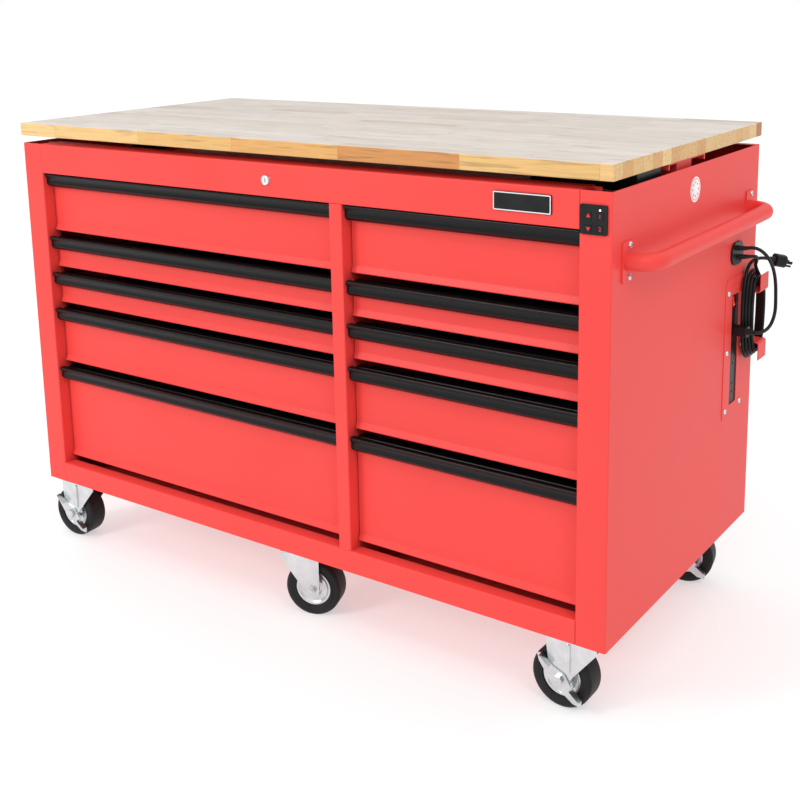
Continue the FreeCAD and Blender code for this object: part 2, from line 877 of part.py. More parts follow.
def brake_lever():
    """See-saw lever on the axle, with a pedal flange folded out along each end."""
    y0 = lever_inner()
    y1 = y0 + 2.5
    reach = brake_reach
    corners = [
        (-reach, -2, 2.0),
        (-reach + 14, -11, 6.0),
        (-22, -14, 10.0),
        (0, -20, 14.0),
        (22, -14, 10.0),
        (reach - 14, -7, 6.0),
        (reach, 2, 2.0),
        (reach - 6, 9, 3.0),
        (24, 11, 6.0),
        (0, 19, 14.0),
        (-24, 11, 6.0),
        (-reach + 8, 9, 3.0),
    ]
    plate = slab(corners, "y", y0, y1)
    pedals = []
    for low, high in ((-reach + 8, -reach + 36), (reach - 34, reach - 6)):
        pedals.append(slab(rectangle(low, high, y0 + 0.5, y0 + 15, 3.0), "z", 8.0, 10.5))
    lever = fused(plate, *pedals)
    lever = lever.cut(rod(V(0, y0 - 1, 0), Y_AXIS, axle_radius + 2 * axle_clearance, 6))
    lever.rotate(V(0, 0, 0), Y_AXIS, -brake_tilt)
    lever.translate(V(caster_trail, 0, axle_level))
    return lever


def caster_wheel():
    """Rubber tyre on a pressed steel hub of two dished discs, a rim band and a bearing tube."""
    centre = V(caster_trail, 0, axle_level)
    half = wheel_width / 2
    tyre = turned(
        [
            (hub_radius, -half + 4.5),
            (hub_radius, half - 4.5),
            (hub_radius + 4, half - 0.8, 2.0),
            (hub_radius + 12, half, 4.0),
            (wheel_radius, half - 0.5, 7.0),
            (wheel_radius, -half + 0.5, 7.0),
            (hub_radius + 12, -half, 4.0),
            (hub_radius + 4, -half + 0.8, 2.0),
        ],
        centre,
        Y_AXIS,
    )
    disc_section = [(11.9, 21), (16, 21, 2.0), (29, 17.2, 6.0), (hub_radius, 20), (hub_radius, 18), (29, 15.2, 6.0),
                    (16, 19, 2.0), (11.9, 19)]
    disc = turned(disc_section, centre, Y_AXIS)
    other = disc.mirror(centre, Y_AXIS)
    rim = turned([(38, -17.4), (hub_radius, -17.4), (hub_radius, 17.4), (38, 17.4)], centre, Y_AXIS)
    bore = axle_radius + axle_clearance
    tube_half = half + fork_gap - 0.3
    tube = turned([(bore, -tube_half), (11.9, -tube_half), (11.9, tube_half), (bore, tube_half)], centre, Y_AXIS)
    return [tyre, disc, other, rim, tube]


def caster_plate():
    """Fixed top plate with the upper race and the king bolt."""
    half_x = plate_length / 2
    half_y = plate_width / 2
    plate = slab(rectangle(-half_x, half_x, -half_y, half_y, 6.0), "z", -plate_thickness, 0)
    holes = []
    for dx in (-bolt_spacing_x / 2, bolt_spacing_x / 2):
        for dy in (-bolt_spacing_y / 2, bolt_spacing_y / 2):
            holes.append(rod(V(dx, dy, -6), Z_AXIS, bolt_radius + hole_clearance, 8))
    race = turned([(0, -9.2), (race_radius - 4, -9.2, 1.5), (race_radius, -4), (0, -4)], V(0, 0, 0), Z_AXIS)
    king = Part.makeCylinder(7.0, 14, V(0, 0, -20), Z_AXIS)
    nut = Part.makeCylinder(11.0, 7, V(0, 0, -24), Z_AXIS)
    return fused(plate.cut(holes), race, king, nut)


def set_down(shape, place):
    x, y, heading, braked = place
    moved = shape.copy()
    moved.rotate(V(0, 0, 0), Z_AXIS, heading)
    moved.translate(V(x, y, 0))
    return moved


def casters():
    forks = {braked: caster_fork(braked) for braked in (False, True)}
    wheel = caster_wheel()
    lever = brake_lever()
    plate = caster_plate()
    for name, place in caster_places.items():
        x, y, heading, braked = place
        add(f"caster_fork_{name}", set_down(forks[braked], place), set_down(caster_axle(braked), place))
        add(f"wheel_{name}", *[set_down(piece, place) for piece in wheel])
        if braked:
            add(f"brake_lever_{name}", set_down(lever, place))
        add("bright_hardware", plate.translated(V(x, y, 0)))
    for x, y in caster_bolt_places():
        shank = rod(V(x, y, -plate_thickness - 7), Z_AXIS, bolt_radius, plate_thickness + 7 + sheet)
        head = Part.makeCylinder(7.0, 5.0, V(x, y, sheet), Z_AXIS)
        nut = Part.makeCylinder(bolt_head_radius, 5.5, V(x, y, -plate_thickness - 5.5), Z_AXIS)
        add("bright_hardware", fused(shank, head, nut))


# ---------------------------------------------------------------- leads
def from_side(points):
    """Points given as (out from the right side, y, z)."""
    return [V(right_side + out, y, z) for out, y, z in points]


def mains_points():
    """From the grommet to the top of the coil."""
    return from_side([
        (grommet_flange, 621, 627),
        (26, 621, 630),
        (37, 643, 628),
        (30, 662, 613),
        (22, 674, coil_top - 1),
    ])


def mains_end_points():
    """From the outside of the coil up to the plug's strain relief."""
    return from_side([
        (9, 669, coil_top - 1),
        (17, 680, 611),
        (31, 693, 615),
        (42, 706, 611),
    ])


def lift_points():
    """From the grommet round to the plug in the strip."""
    return from_side([
        (grommet_flange, 613, 648),
        (19, 613, 648),
        (38, 617, 652),
        (53, 626, 644),
        (63, 644, 624),
        (65, 668, 598),
        (65, 686, 566),
        (64, 694, 531),
        (66, 690, 500),
        (65, 673, 477),
        (62, 648, 467),
        (56, 627, 465.5),
        (lift_plug_reach, 620, socket_level),
    ])


def lead_line(points, name):
    """Straight runs joined by tangent arcs, each as large as its two runs allow."""
    edges = []
    start = points[0]
    radii = []
    for before, here, after in zip(points, points[1:], points[2:]):
        a = before - here
        c = after - here
        shorter = min(a.Length, c.Length)
        a.normalize()
        c.normalize()
        half = a.getAngle(c) / 2
        reach = 0.45 * shorter
        radius = reach * math.tan(half)
        radii.append(round(radius, 1))
        middle = here + (a + c).normalize() * (radius / math.sin(half) - radius)
        first = here + a * reach
        last = here + c * reach
        edges.append(Part.LineSegment(start, first).toShape())
        edges.append(Part.Arc(first, middle, last).toShape())
        start = last
    edges.append(Part.LineSegment(start, points[-1]).toShape())
    wire = Part.Wire(edges)
    print(name, "length", round(wire.Length, 1), "radii", radii)
    return wire


def lead_tube(points, diameter, name):
    line = lead_line(points, name)
    direction = points[1] - points[0]
    tube = swept_tube(line, points[0], direction, diameter / 2)
    expected = math.pi * diameter ** 2 / 4 * line.Length
    print(name, "volume over section times length", round(tube.Volume / expected, 4))
    return tube


def mains_coil():
    """Outer shape of the turns that hang on the two hooks."""
    outer = slab(rectangle(634, 734, 385, coil_top, 30.0), "x", right_side + 6, right_side + 36)
    hole = slab(rectangle(658, 710, 423, 553, 12.0), "x", right_side + 4, right_side + 38)
    return outer.cut(hole)


def plug_body(width, height, length, relief):
    """Moulded plug along +X from its cord end: tapered relief, body, then two blades and a pin."""
    nose = relief + length
    body = slab(rectangle(-width / 2, width / 2, -height / 2, height / 2, 9.0), "x", relief, nose)
    body = body.makeFillet(2.0, [edge for edge in body.Edges if edge.BoundBox.XLength < 0.1])
    cone = Part.makeCone(4.6, 7.5, relief, V(0, 0, 0), X_AXIS)
    solids = [cone, body]
    for y in (-6.5, 6.5):
        solids.append(box(nose, nose + 16, y - 0.75, y + 0.75, -3.2, 3.2))
    solids.append(rod(V(nose, 0, -9), X_AXIS, 2.3, 18))
    return fused(*solids)


def leads():
    add("mains_lead", lead_tube(mains_points(), mains_diameter, "mains_lead"))
    add("mains_lead", lead_tube(mains_end_points(), mains_diameter, "mains_lead end"))
    add("mains_coil", mains_coil())
    add("lift_lead", lead_tube(lift_points(), lift_diameter, "lift_lead"))
    end = mains_end_points()
    plug = plug_body(25.0, 27.0, mains_plug_length, plug_relief)
    plug.Placement = FreeCAD.Placement(end[-1], FreeCAD.Rotation(X_AXIS, end[-1] - end[-2]))
    add("mains_plug", plug)
    middle = (slot_front + slot_back) / 2
    lift_plug = plug_body(26.0, 24.0, plug_length, plug_relief)
    lift_plug.rotate(V(0, 0, 0), Z_AXIS, 180)
    lift_plug.translate(V(right_side + lift_plug_reach, middle, socket_level))
    add("lift_plug", lift_plug)


# ---------------------------------------------------------------- build and save
cabinet_shell()
front_frame()
drawers()
lock()
lock_bar()
lift()
lift_drives()
worktop()
push_handle()
strip_cover()
power_strip()
rocker_switch()
cable_grommet()
control_panel()
keys()
screws()
casters()
leads()

os.makedirs("parts", exist_ok=True)
for node, solids in parts.items():
    shape = Part.makeCompound(solids)
    shape.translate(origin_shift)
    shape.exportStep(f"parts/{node}.step")
    if not shape.isValid():
        print("not valid:", node)
print(len(parts), "nodes")
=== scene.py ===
# %% [markdown]
# # A rolling tool chest with a lifting wooden top
# The metalwork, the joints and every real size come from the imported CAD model, which loads as a fixed
# frame. This file adds what CAD doesn't hold: paint, wood, rubber and plating, the cords, the wheels'
# turned shapes, screw heads, drawer liners and the marks on the keys.

# %% Load the chest
import json
import math

import bmesh
import bpy
from mathutils import Euler, Matrix, Vector

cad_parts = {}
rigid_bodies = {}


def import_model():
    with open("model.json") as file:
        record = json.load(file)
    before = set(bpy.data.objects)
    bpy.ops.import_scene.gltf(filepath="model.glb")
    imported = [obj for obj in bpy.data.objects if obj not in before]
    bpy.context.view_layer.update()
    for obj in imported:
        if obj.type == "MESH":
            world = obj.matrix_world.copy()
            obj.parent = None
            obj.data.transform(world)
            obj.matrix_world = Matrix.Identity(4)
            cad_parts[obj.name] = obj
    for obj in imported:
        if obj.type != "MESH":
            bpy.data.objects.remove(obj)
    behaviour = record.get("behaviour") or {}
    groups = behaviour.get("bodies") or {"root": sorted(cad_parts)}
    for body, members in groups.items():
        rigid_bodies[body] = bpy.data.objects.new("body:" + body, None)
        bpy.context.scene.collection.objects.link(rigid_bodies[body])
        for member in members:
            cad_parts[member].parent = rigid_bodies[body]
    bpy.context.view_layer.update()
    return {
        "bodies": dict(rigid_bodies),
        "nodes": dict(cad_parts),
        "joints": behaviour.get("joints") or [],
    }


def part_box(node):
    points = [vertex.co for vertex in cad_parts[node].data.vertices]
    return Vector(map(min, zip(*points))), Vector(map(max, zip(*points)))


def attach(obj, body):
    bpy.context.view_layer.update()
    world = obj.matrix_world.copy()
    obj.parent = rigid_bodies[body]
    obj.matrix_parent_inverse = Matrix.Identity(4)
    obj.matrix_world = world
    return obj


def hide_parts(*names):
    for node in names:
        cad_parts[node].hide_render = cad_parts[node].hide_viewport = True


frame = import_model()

bodies = frame["bodies"]

# %% [markdown]
# ## Where things are
# The cabinet's painted body is the ruler for everything else. Its box gives the front, the right side and
# the bottom, so any place can be said the way a maker says it: so far in, so far back, so far up.

# %% Places measured from the cabinet
cabinet_lo, cabinet_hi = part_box("cabinet_shell")
MM = 0.001


def place(x, y, z):
    """Millimetres from the cabinet's front left bottom corner."""
    return Vector((cabinet_lo[0] + x * MM, cabinet_lo[1] + y * MM, cabinet_lo[2] + z * MM))


def from_side(out, y, z):
    """Millimetres out from the right side, back from the front and up from the bottom."""
    return Vector((cabinet_hi[0] + out * MM, cabinet_lo[1] + y * MM, cabinet_lo[2] + z * MM))


body_width = (cabinet_hi[0] - cabinet_lo[0]) / MM
print("cabinet", round(body_width), "mm wide")

# %% [markdown]
# ## Camera
# The chest is seen from the front right, from just above the height of its top. A fairly long lens keeps
# the uprights close to upright, and a small shift does the rest, as a view camera's rising front would. The
# Standard view transform shows the paint as strong as it is mixed.

# %% Camera
CAMERA_PLACE = (1.6162, -2.2098, 1.3554)
CAMERA_YAW, CAMERA_PITCH, CAMERA_ROLL = 35.278, -11.563, -1.099
camera_data = bpy.data.cameras.new("camera")
camera_data.lens = 54.125
camera_data.sensor_width = 36.0
camera_data.shift_y = -0.2
camera = bpy.data.objects.new("camera", camera_data)
aim = Euler((math.radians(90 + CAMERA_PITCH), 0, math.radians(CAMERA_YAW))).to_matrix()
aim = aim @ Matrix.Rotation(math.radians(CAMERA_ROLL), 3, "Z")
camera.matrix_world = Matrix.Translation(CAMERA_PLACE) @ aim.to_4x4()
bpy.context.scene.collection.objects.link(camera)
bpy.context.scene.camera = camera
bpy.context.scene.view_settings.view_transform = "Standard"
print("lens", camera_data.lens, "mm")

# %% [markdown]
# ## Shader helpers
# Materials here are small node trees. One helper adds a node and sets its values, so a material reads as a
# list of what it is made of. Values that are the same all over stay on the Principled shader's own sockets.


# %% Node helpers
def add_node(tree, kind, inputs=None, **settings):
    """Adds a node, sets its properties, then fills or links its inputs."""
    node = tree.nodes.new(kind)
    for key, value in settings.items():
        setattr(node, key, value)
    for key, value in (inputs or {}).items():
        if isinstance(value, bpy.types.NodeSocket):
            tree.links.new(value, node.inputs[key])
        else:
            node.inputs[key].default_value = value
    return node


def ramp(tree, factor, stops):
    """A colour ramp from (position, colour) stops."""
    node = add_node(tree, "ShaderNodeValToRGB", {0: factor})
    elements = node.color_ramp.elements
    while len(elements) < len(stops):
        elements.new(0.5)
    for element, (position, colour) in zip(elements, stops):
        element.position = position
        element.color = (*colour, 1) if len(colour) == 3 else (colour[0], colour[0], colour[0], 1)
    return node.outputs["Color"]


def math_node(tree, operation, a, b=0.0, c=0.0):
    return add_node(tree, "ShaderNodeMath", {0: a, 1: b, 2: c}, operation=operation).outputs[0]


def shader_group(name, inputs, outputs):
    """An empty shader group with named float inputs, and outputs of the kinds given."""
    tree = bpy.data.node_groups.new(name, "ShaderNodeTree")
    for label, value in inputs:
        tree.interface.new_socket(label, in_out="INPUT", socket_type="NodeSocketFloat").default_value = value
    for label, kind in outputs:
        tree.interface.new_socket(label, in_out="OUTPUT", socket_type="NodeSocket" + kind)
    return tree, tree.nodes.new("NodeGroupInput"), tree.nodes.new("NodeGroupOutput")


def new_material(name, colour, roughness, metallic=0.0):
    """A Principled material, returned with its tree and shader."""
    material = bpy.data.materials.new(name)
    material.use_nodes = True
    tree = material.node_tree
    shader = tree.nodes["Principled BSDF"]
    shader.inputs["Base Color"].default_value = (*colour, 1)
    shader.inputs["Roughness"].default_value = roughness
    shader.inputs["Metallic"].default_value = metallic
    material.diffuse_color = (*colour, 1)
    return material, tree, shader


def use_group(tree, group, **values):
    node = tree.nodes.new("ShaderNodeGroup")
    node.node_tree = group
    for key, value in values.items():
        node.inputs[key.replace("_", " ").capitalize()].default_value = value
    return node


def bump(tree, shader, height, distance, strength):
    """Lets a height move the surface's normal."""
    node = add_node(tree, "ShaderNodeBump", {"Height": height, "Distance": distance, "Strength": strength})
    tree.links.new(node.outputs["Normal"], shader.inputs["Normal"])


# Mix and Map Range keep sockets for every kind of value, so the colour and float ones are called by number.
MIX_FIRST, MIX_SECOND, MIX_COLOUR = 6, 7, 2
RANGE_VALUE, RANGE_LOW, RANGE_HIGH = 0, 3, 4


def mixed(tree, factor, first, second, blend_type="MIX"):
    """One colour laid over another."""
    inputs = {"Factor": factor, MIX_FIRST: first, MIX_SECOND: second}
    node = add_node(tree, "ShaderNodeMix", inputs, data_type="RGBA", blend_type=blend_type)
    return node.outputs[MIX_COLOUR]


def vary_gloss(tree, shader, mask, low, high):
    """Moves the roughness between two values with a mask."""
    gloss = add_node(tree, "ShaderNodeMapRange", {RANGE_VALUE: mask, RANGE_LOW: low, RANGE_HIGH: high})
    tree.links.new(gloss.outputs[0], shader.inputs["Roughness"])


print("helpers ready")

# %% [markdown]
# ## Handling group
# Real surfaces are never even. Hands and cloths leave soft smudges, sprayed coats have a fine orange peel,
# and both show as small changes in gloss. One group makes both, and each finish places it with its own
# sizes.

# %% Handling group
handling, group_in, group_out = shader_group(
    "handling",
    [("Smudge scale", 6.0), ("Grain scale", 900.0)],
    [("Smudge", "Float"), ("Grain", "Float")],
)
spot = handling.nodes.new("ShaderNodeTexCoord").outputs["Object"]
for label, detail in (("Smudge", 5.0), ("Grain", 2.0)):
    scale = group_in.outputs[label + " scale"]
    noise = add_node(handling, "ShaderNodeTexNoise", {"Vector": spot, "Scale": scale, "Detail": detail})
    handling.links.new(noise.outputs[0], group_out.inputs[label])
print("handling group", len(handling.nodes), "nodes")

# %% [markdown]
# ## Floor dust group
# A shop floor leaves grey dust low down on wheels and forks. The mask is strongest at the floor, fades
# within a hand's height, and is broken up by noise so that its edge isn't a line.

# %% Floor dust group
dust, group_in, group_out = shader_group("floor_dust", [("Height", 0.12)], [("Mask", "Float")])
spot = dust.nodes.new("ShaderNodeTexCoord").outputs["Object"]
level = add_node(dust, "ShaderNodeSeparateXYZ", {0: spot}).outputs["Z"]
low = math_node(dust, "SUBTRACT", 1.0, math_node(dust, "DIVIDE", level, group_in.outputs["Height"]))
patchy = add_node(dust, "ShaderNodeTexNoise", {"Vector": spot, "Scale": 90.0, "Detail": 6.0}).outputs[0]
mask = math_node(dust, "MULTIPLY", low, patchy)
mask.node.use_clamp = True
dust.links.new(mask, group_out.inputs["Mask"])


def dusted(tree, tone, height, share, colour):
    """A tone with floor dust laid over it."""
    layer = use_group(tree, dust, height=height)
    return mixed(tree, math_node(tree, "MULTIPLY", layer.outputs["Mask"], share), tone, (*colour, 1))


print("floor dust group", len(dust.nodes), "nodes")

# %% [markdown]
# ## Painted steel
# The cabinet is powder coated: an even satin red with a very fine pebbled skin. Smudges change the gloss
# and shift the tone a little, which keeps large panels from looking like flat card.


# %% Painted steel
def painted(name, colour, darker, roughness, mirror):
    """Powder coat. The mirror value is how strongly it reflects."""
    material, tree, shader = new_material(name, colour, roughness)
    marks = use_group(tree, handling, smudge_scale=3.0, grain_scale=1400.0)
    tone = ramp(tree, marks.outputs["Smudge"], [(0.3, darker), (0.7, colour)])
    tree.links.new(tone, shader.inputs["Base Color"])
    vary_gloss(tree, shader, marks.outputs["Smudge"], roughness - 0.05, roughness + 0.08)
    bump(tree, shader, marks.outputs["Grain"], 0.00006, 0.6)
    shader.inputs["Specular IOR Level"].default_value = mirror
    return material


red_paint = painted("red_powder_coat", (0.80, 0.062, 0.054), (0.76, 0.055, 0.048), 0.42, 0.24)
black_paint = painted("black_pull_finish", (0.003, 0.003, 0.0035), (0.0025, 0.0025, 0.003), 0.26, 0.2)
print("red and black finishes")

# %% [markdown]
# ## Zinc plate and chrome
# Caster forks, bolts and slides are bright zinc: a metal with cloudy patches of brighter and duller plate.
# The lock is polished chrome, so it is smoother and more even.


# %% Zinc and chrome
def plated(name, bright, dull, roughness, dusty=False):
    """Plated steel, with floor dust on it where it is near the floor."""
    material, tree, shader = new_material(name, bright, roughness, 1.0)
    marks = use_group(tree, handling, smudge_scale=38.0, grain_scale=700.0)
    tone = ramp(tree, marks.outputs["Smudge"], [(0.35, dull), (0.65, bright)])
    if dusty:
        tone = dusted(tree, tone, height=0.13, share=0.35, colour=(0.33, 0.31, 0.29))
    tree.links.new(tone, shader.inputs["Base Color"])
    vary_gloss(tree, shader, marks.outputs["Smudge"], roughness + 0.1, roughness - 0.06)
    bump(tree, shader, marks.outputs["Grain"], 0.00004, 0.5)
    return material


zinc = plated("bright_zinc", (0.72, 0.75, 0.77), (0.62, 0.645, 0.665), 0.24, dusty=True)
slide_zinc = plated("slide_zinc", (0.80, 0.81, 0.82), (0.62, 0.63, 0.65), 0.34)
chrome = plated("lock_chrome", (0.9, 0.9, 0.91), (0.84, 0.84, 0.86), 0.14)
print("zinc and chrome")

# %% [markdown]
# ## Black rubber and moulded plastic
# Tyres and cord jackets are rubber, dull with a fine grain. Plugs, the strip and the key panel are moulded
# plastic, a little glossier with a spark-eroded texture.


# %% Rubber and plastic
def moulded(name, colour, roughness, grain_scale, depth, dusty=False):
    """Rubber or moulded plastic, with a surface grain of the given depth."""
    material, tree, shader = new_material(name, colour, roughness)
    marks = use_group(tree, handling, smudge_scale=22.0, grain_scale=grain_scale)
    paler = tuple(min(1.0, channel * 1.6 + 0.004) for channel in colour)
    tone = ramp(tree, marks.outputs["Smudge"], [(0.35, colour), (0.75, paler)])
    if dusty:
        tone = dusted(tree, tone, height=0.11, share=0.07, colour=(0.2, 0.19, 0.18))
    tree.links.new(tone, shader.inputs["Base Color"])
    vary_gloss(tree, shader, marks.outputs["Smudge"], roughness - 0.06, roughness + 0.1)
    bump(tree, shader, marks.outputs["Grain"], depth, 0.7)
    shader.inputs["Specular IOR Level"].default_value = 0.22
    return material


tyre_rubber = moulded("tyre_rubber", (0.006, 0.006, 0.007), 0.5, 900.0, 0.00012, dusty=True)
cord_jacket = moulded("cord_jacket", (0.005, 0.005, 0.006), 0.36, 1500.0, 0.00005)
black_plastic = moulded("black_plastic", (0.006, 0.006, 0.007), 0.34, 2200.0, 0.00005)
liner_rubber = moulded("liner_rubber", (0.018, 0.018, 0.019), 0.7, 1200.0, 0.0001)
white_mark = moulded("white_mark", (0.75, 0.76, 0.78), 0.4, 1800.0, 0.00003)
red_mark = moulded("red_mark", (0.62, 0.02, 0.02), 0.35, 1800.0, 0.00003)
print("rubber and plastic")

# %% [markdown]
# ## Lit rocker and lamp
# The strip's rocker is clear red plastic with a lamp behind it, and the key panel has a tiny white lamp. A
# weak emission on top of a glossy shader keeps the moulded shape readable.


# %% Lit plastics
def lit(name, colour, strength):
    material, tree, shader = new_material(name, colour, 0.2)
    marks = use_group(tree, handling, smudge_scale=120.0, grain_scale=2500.0)
    dimmer = tuple(0.7 * channel for channel in colour)
    glow = ramp(tree, marks.outputs["Smudge"], [(0.2, dimmer), (0.8, colour)])
    tree.links.new(glow, shader.inputs["Emission Color"])
    tree.links.new(glow, shader.inputs["Base Color"])
    shader.inputs["Emission Strength"].default_value = strength
    return material


rocker_red = lit("lit_rocker_red", (0.85, 0.03, 0.02), 0.5)
lamp_white = lit("lamp_white", (0.9, 0.92, 0.95), 1.2)
print("lit plastics")

# %% [markdown]
# ## Butcher block
# The top is glued up from hardwood staves that run along its width. Rows are one stave wide, each row is
# cut at different places, and every stave has its own tone and its own grain. Row and stave numbers feed a
# white noise node, which gives one random tone to each piece of wood. On the two ends the same rows show as
# end grain.

# %% Butcher block group
block, group_in, group_out = shader_group(
    "butcher_block",
    [("Row width", 0.042), ("Stave length", 0.27)],
    [("Tone", "Float"), ("Grain", "Float"), ("Joint", "Float")],
)
spot = block.nodes.new("ShaderNodeTexCoord").outputs["Object"]
xyz = add_node(block, "ShaderNodeSeparateXYZ", {0: spot})
row_place = math_node(block, "DIVIDE", xyz.outputs["Y"], group_in.outputs["Row width"])
row = math_node(block, "FLOOR", row_place)
row_random = add_node(block, "ShaderNodeTexWhiteNoise", {"W": row}, noise_dimensions="1D").outputs[0]
along = math_node(block, "DIVIDE", xyz.outputs["X"], group_in.outputs["Stave length"])
stretch = math_node(block, "MULTIPLY_ADD", row_random, 0.35, 0.8)
stave_place = math_node(block, "MULTIPLY_ADD", row_random, 7.3, math_node(block, "MULTIPLY", along, stretch))
stave = math_node(block, "FLOOR", stave_place)
piece = add_node(block, "ShaderNodeCombineXYZ", {"X": row, "Y": stave}).outputs[0]
tone = add_node(block, "ShaderNodeTexWhiteNoise", {"Vector": piece}, noise_dimensions="3D")
print("rows and staves", len(block.nodes), "nodes")

# %% [markdown]
# The grain is noise stretched along the stave, and shifted by each stave's own random number so that it
# never runs on across a joint. A joint is the thin strip where a row's or a stave's fraction is close to
# nought.

# %% Grain and joints
ROW_JOINT, STAVE_JOINT = 0.018, 0.004
shifted = add_node(
    block, "ShaderNodeVectorMath", {0: tone.outputs["Color"], 1: (3, 3, 3)}, operation="MULTIPLY",
)
moved = add_node(block, "ShaderNodeVectorMath", {0: spot, 1: shifted.outputs[0]}, operation="ADD")
long_grain = add_node(block, "ShaderNodeMapping", {"Vector": moved.outputs[0], "Scale": (5.0, 95.0, 95.0)})
fibres = add_node(block, "ShaderNodeTexNoise", {"Vector": long_grain.outputs[0], "Scale": 1.6, "Detail": 7.0})
row_edge = math_node(block, "LESS_THAN", math_node(block, "FRACT", row_place), ROW_JOINT)
stave_edge = math_node(block, "LESS_THAN", math_node(block, "FRACT", stave_place), STAVE_JOINT)
block.links.new(tone.outputs["Value"], group_out.inputs["Tone"])
block.links.new(fibres.outputs[0], group_out.inputs["Grain"])
block.links.new(math_node(block, "MAXIMUM", row_edge, stave_edge), group_out.inputs["Joint"])
print("butcher block group", len(block.nodes), "nodes")

# %% [markdown]
# The finish is a thin hardened oil: pale, warm and only slightly glossy. The upper face is painted with
# paler, greyer tones than the edges, which keep their honey colour: a painted sheen of the overhead light.

# %% Oiled wood
oiled_wood, tree, shader = new_material("oiled_butcher_block", (0.72, 0.5, 0.28), 0.4)
staves = use_group(tree, block, row_width=0.042, stave_length=0.27)
honey = ramp(tree, staves.outputs["Tone"], [
    (0.0, (0.64, 0.37, 0.12)), (0.4, (0.76, 0.52, 0.22)),
    (0.75, (0.62, 0.31, 0.09)), (1.0, (0.46, 0.16, 0.04)),
])
# Paler, greyer tones for faces that point up: a painted sheen of the light from above.
painted_top_sheen = ramp(tree, staves.outputs["Tone"], [
    (0.0, (0.60, 0.53, 0.47)), (0.5, (0.68, 0.62, 0.56)),
    (0.85, (0.62, 0.54, 0.46)), (1.0, (0.54, 0.44, 0.36)),
])
facing = tree.nodes.new("ShaderNodeNewGeometry").outputs["Normal"]
upwards = add_node(tree, "ShaderNodeSeparateXYZ", {0: facing}).outputs["Z"]
# Faces that point up take the painted sheen tones, and all other faces keep the honey tones.
wood = mixed(tree, math_node(tree, "GREATER_THAN", upwards, 0.7), honey, painted_top_sheen)
veins = ramp(tree, staves.outputs["Grain"], [(0.34, (0.66,)), (0.48, (1.0,)), (0.7, (0.86,))])
wood = mixed(tree, 1.0, wood, veins, "MULTIPLY")
glue = math_node(tree, "MULTIPLY", staves.outputs["Joint"], 0.45)
wood = mixed(tree, glue, wood, (0.30, 0.17, 0.08, 1))
tree.links.new(wood, shader.inputs["Base Color"])
vary_gloss(tree, shader, staves.outputs["Grain"], 0.32, 0.48)
groove = math_node(tree, "MULTIPLY", staves.outputs["Joint"], 0.8)
bump(tree, shader, math_node(tree, "SUBTRACT", staves.outputs["Grain"], groove), 0.0004, 0.5)
print("oiled wood")

# %% [markdown]
# ## Finishes for the CAD pieces
# A CAD piece keeps its mesh and takes a better material in its slots. Each line names a finish and the
# pieces it belongs to, by the start of their names.

# %% Give the CAD pieces their finishes
FINISHES = [
    (red_paint, ("cabinet_shell", "front_frame", "drawer_", "push_handle", "strip_cover", "lift_frame")),
    (black_paint, ("pull_",)),
    (zinc, ("caster_fork", "brake_lever", "bright_hardware", "lift_columns", "lock_bar")),
    (chrome, ("lock_cylinder",)),
    (oiled_wood, ("worktop",)),
    (rocker_red, ("rocker_switch",)),
    (black_plastic, ("",)),
]
for name, piece in frame["nodes"].items():
    finish = next(material for material, starts in FINISHES if name.startswith(starts))
    for slot in piece.material_slots:
        slot.material = finish
print(len(frame["nodes"]), "pieces finished")

# %% [markdown]
# ## New pieces
# A new piece is a mesh whose points are already in their real place, so its object stays at the origin.
# Each one rides on a CAD body and is given its finish as a material.


# %% Piece helpers
def finish_piece(name, mesh, material, body):
    """Shows a mesh as a piece that rides on a body."""
    mesh.materials.clear()
    mesh.materials.append(material)
    piece = bpy.data.objects.new(name, mesh)
    bpy.context.scene.collection.objects.link(piece)
    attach(piece, body)
    return piece


def lathe(name, section, steps):
    """A mesh turned about the Y axis from a closed section of (radius, along) points."""
    mesh = bpy.data.meshes.new(name)
    shape = bmesh.new()
    rings = []
    for turn in range(steps):
        angle = 2 * math.pi * turn / steps
        rings.append([shape.verts.new((r * math.cos(angle), y, r * math.sin(angle))) for r, y in section])
    for ring, following in zip(rings, rings[1:] + rings[:1]):
        for i in range(len(section)):
            j = (i + 1) % len(section)
            shape.faces.new((ring[i], ring[j], following[j], following[i]))
    bmesh.ops.remove_doubles(shape, verts=shape.verts, dist=1e-6)
    bmesh.ops.recalc_face_normals(shape, faces=shape.faces)
    for face in shape.faces:
        face.smooth = True
    shape.to_mesh(mesh)
    shape.free()
    return mesh


def rounded(corners, arc_steps):
    """Points along an open or closed outline whose corners (u, v, radius) are rounded."""
    points = []
    for i, corner in enumerate(corners):
        radius = corner[2] if len(corner) > 2 else 0
        here = Vector(corner[:2])
        if radius == 0:
            points.append(here)
            continue
        before = (Vector(corners[i - 1][:2]) - here).normalized()
        after = (Vector(corners[(i + 1) % len(corners)][:2]) - here).normalized()
        half = before.angle(after) / 2
        centre = here + (before + after).normalized() * (radius / math.sin(half))
        first = here + before * (radius / math.tan(half)) - centre
        last = here + after * (radius / math.tan(half)) - centre
        for step in range(arc_steps + 1):
            points.append(centre + first.lerp(last, step / arc_steps).normalized() * radius)
    return [(p.x, p.y) for p in points]


print("piece helpers ready")

# %% [markdown]
# ## Cords
# Both cords leave the grommet high on the right side. The mains lead goes into a loose coil on the two
# hooks and comes up again to its plug, and the lift's lead loops down into the strip. Each is one smooth
# NURBS line with a few points that say where the cord goes. The line cuts inside its corners, as a real
# cord does.


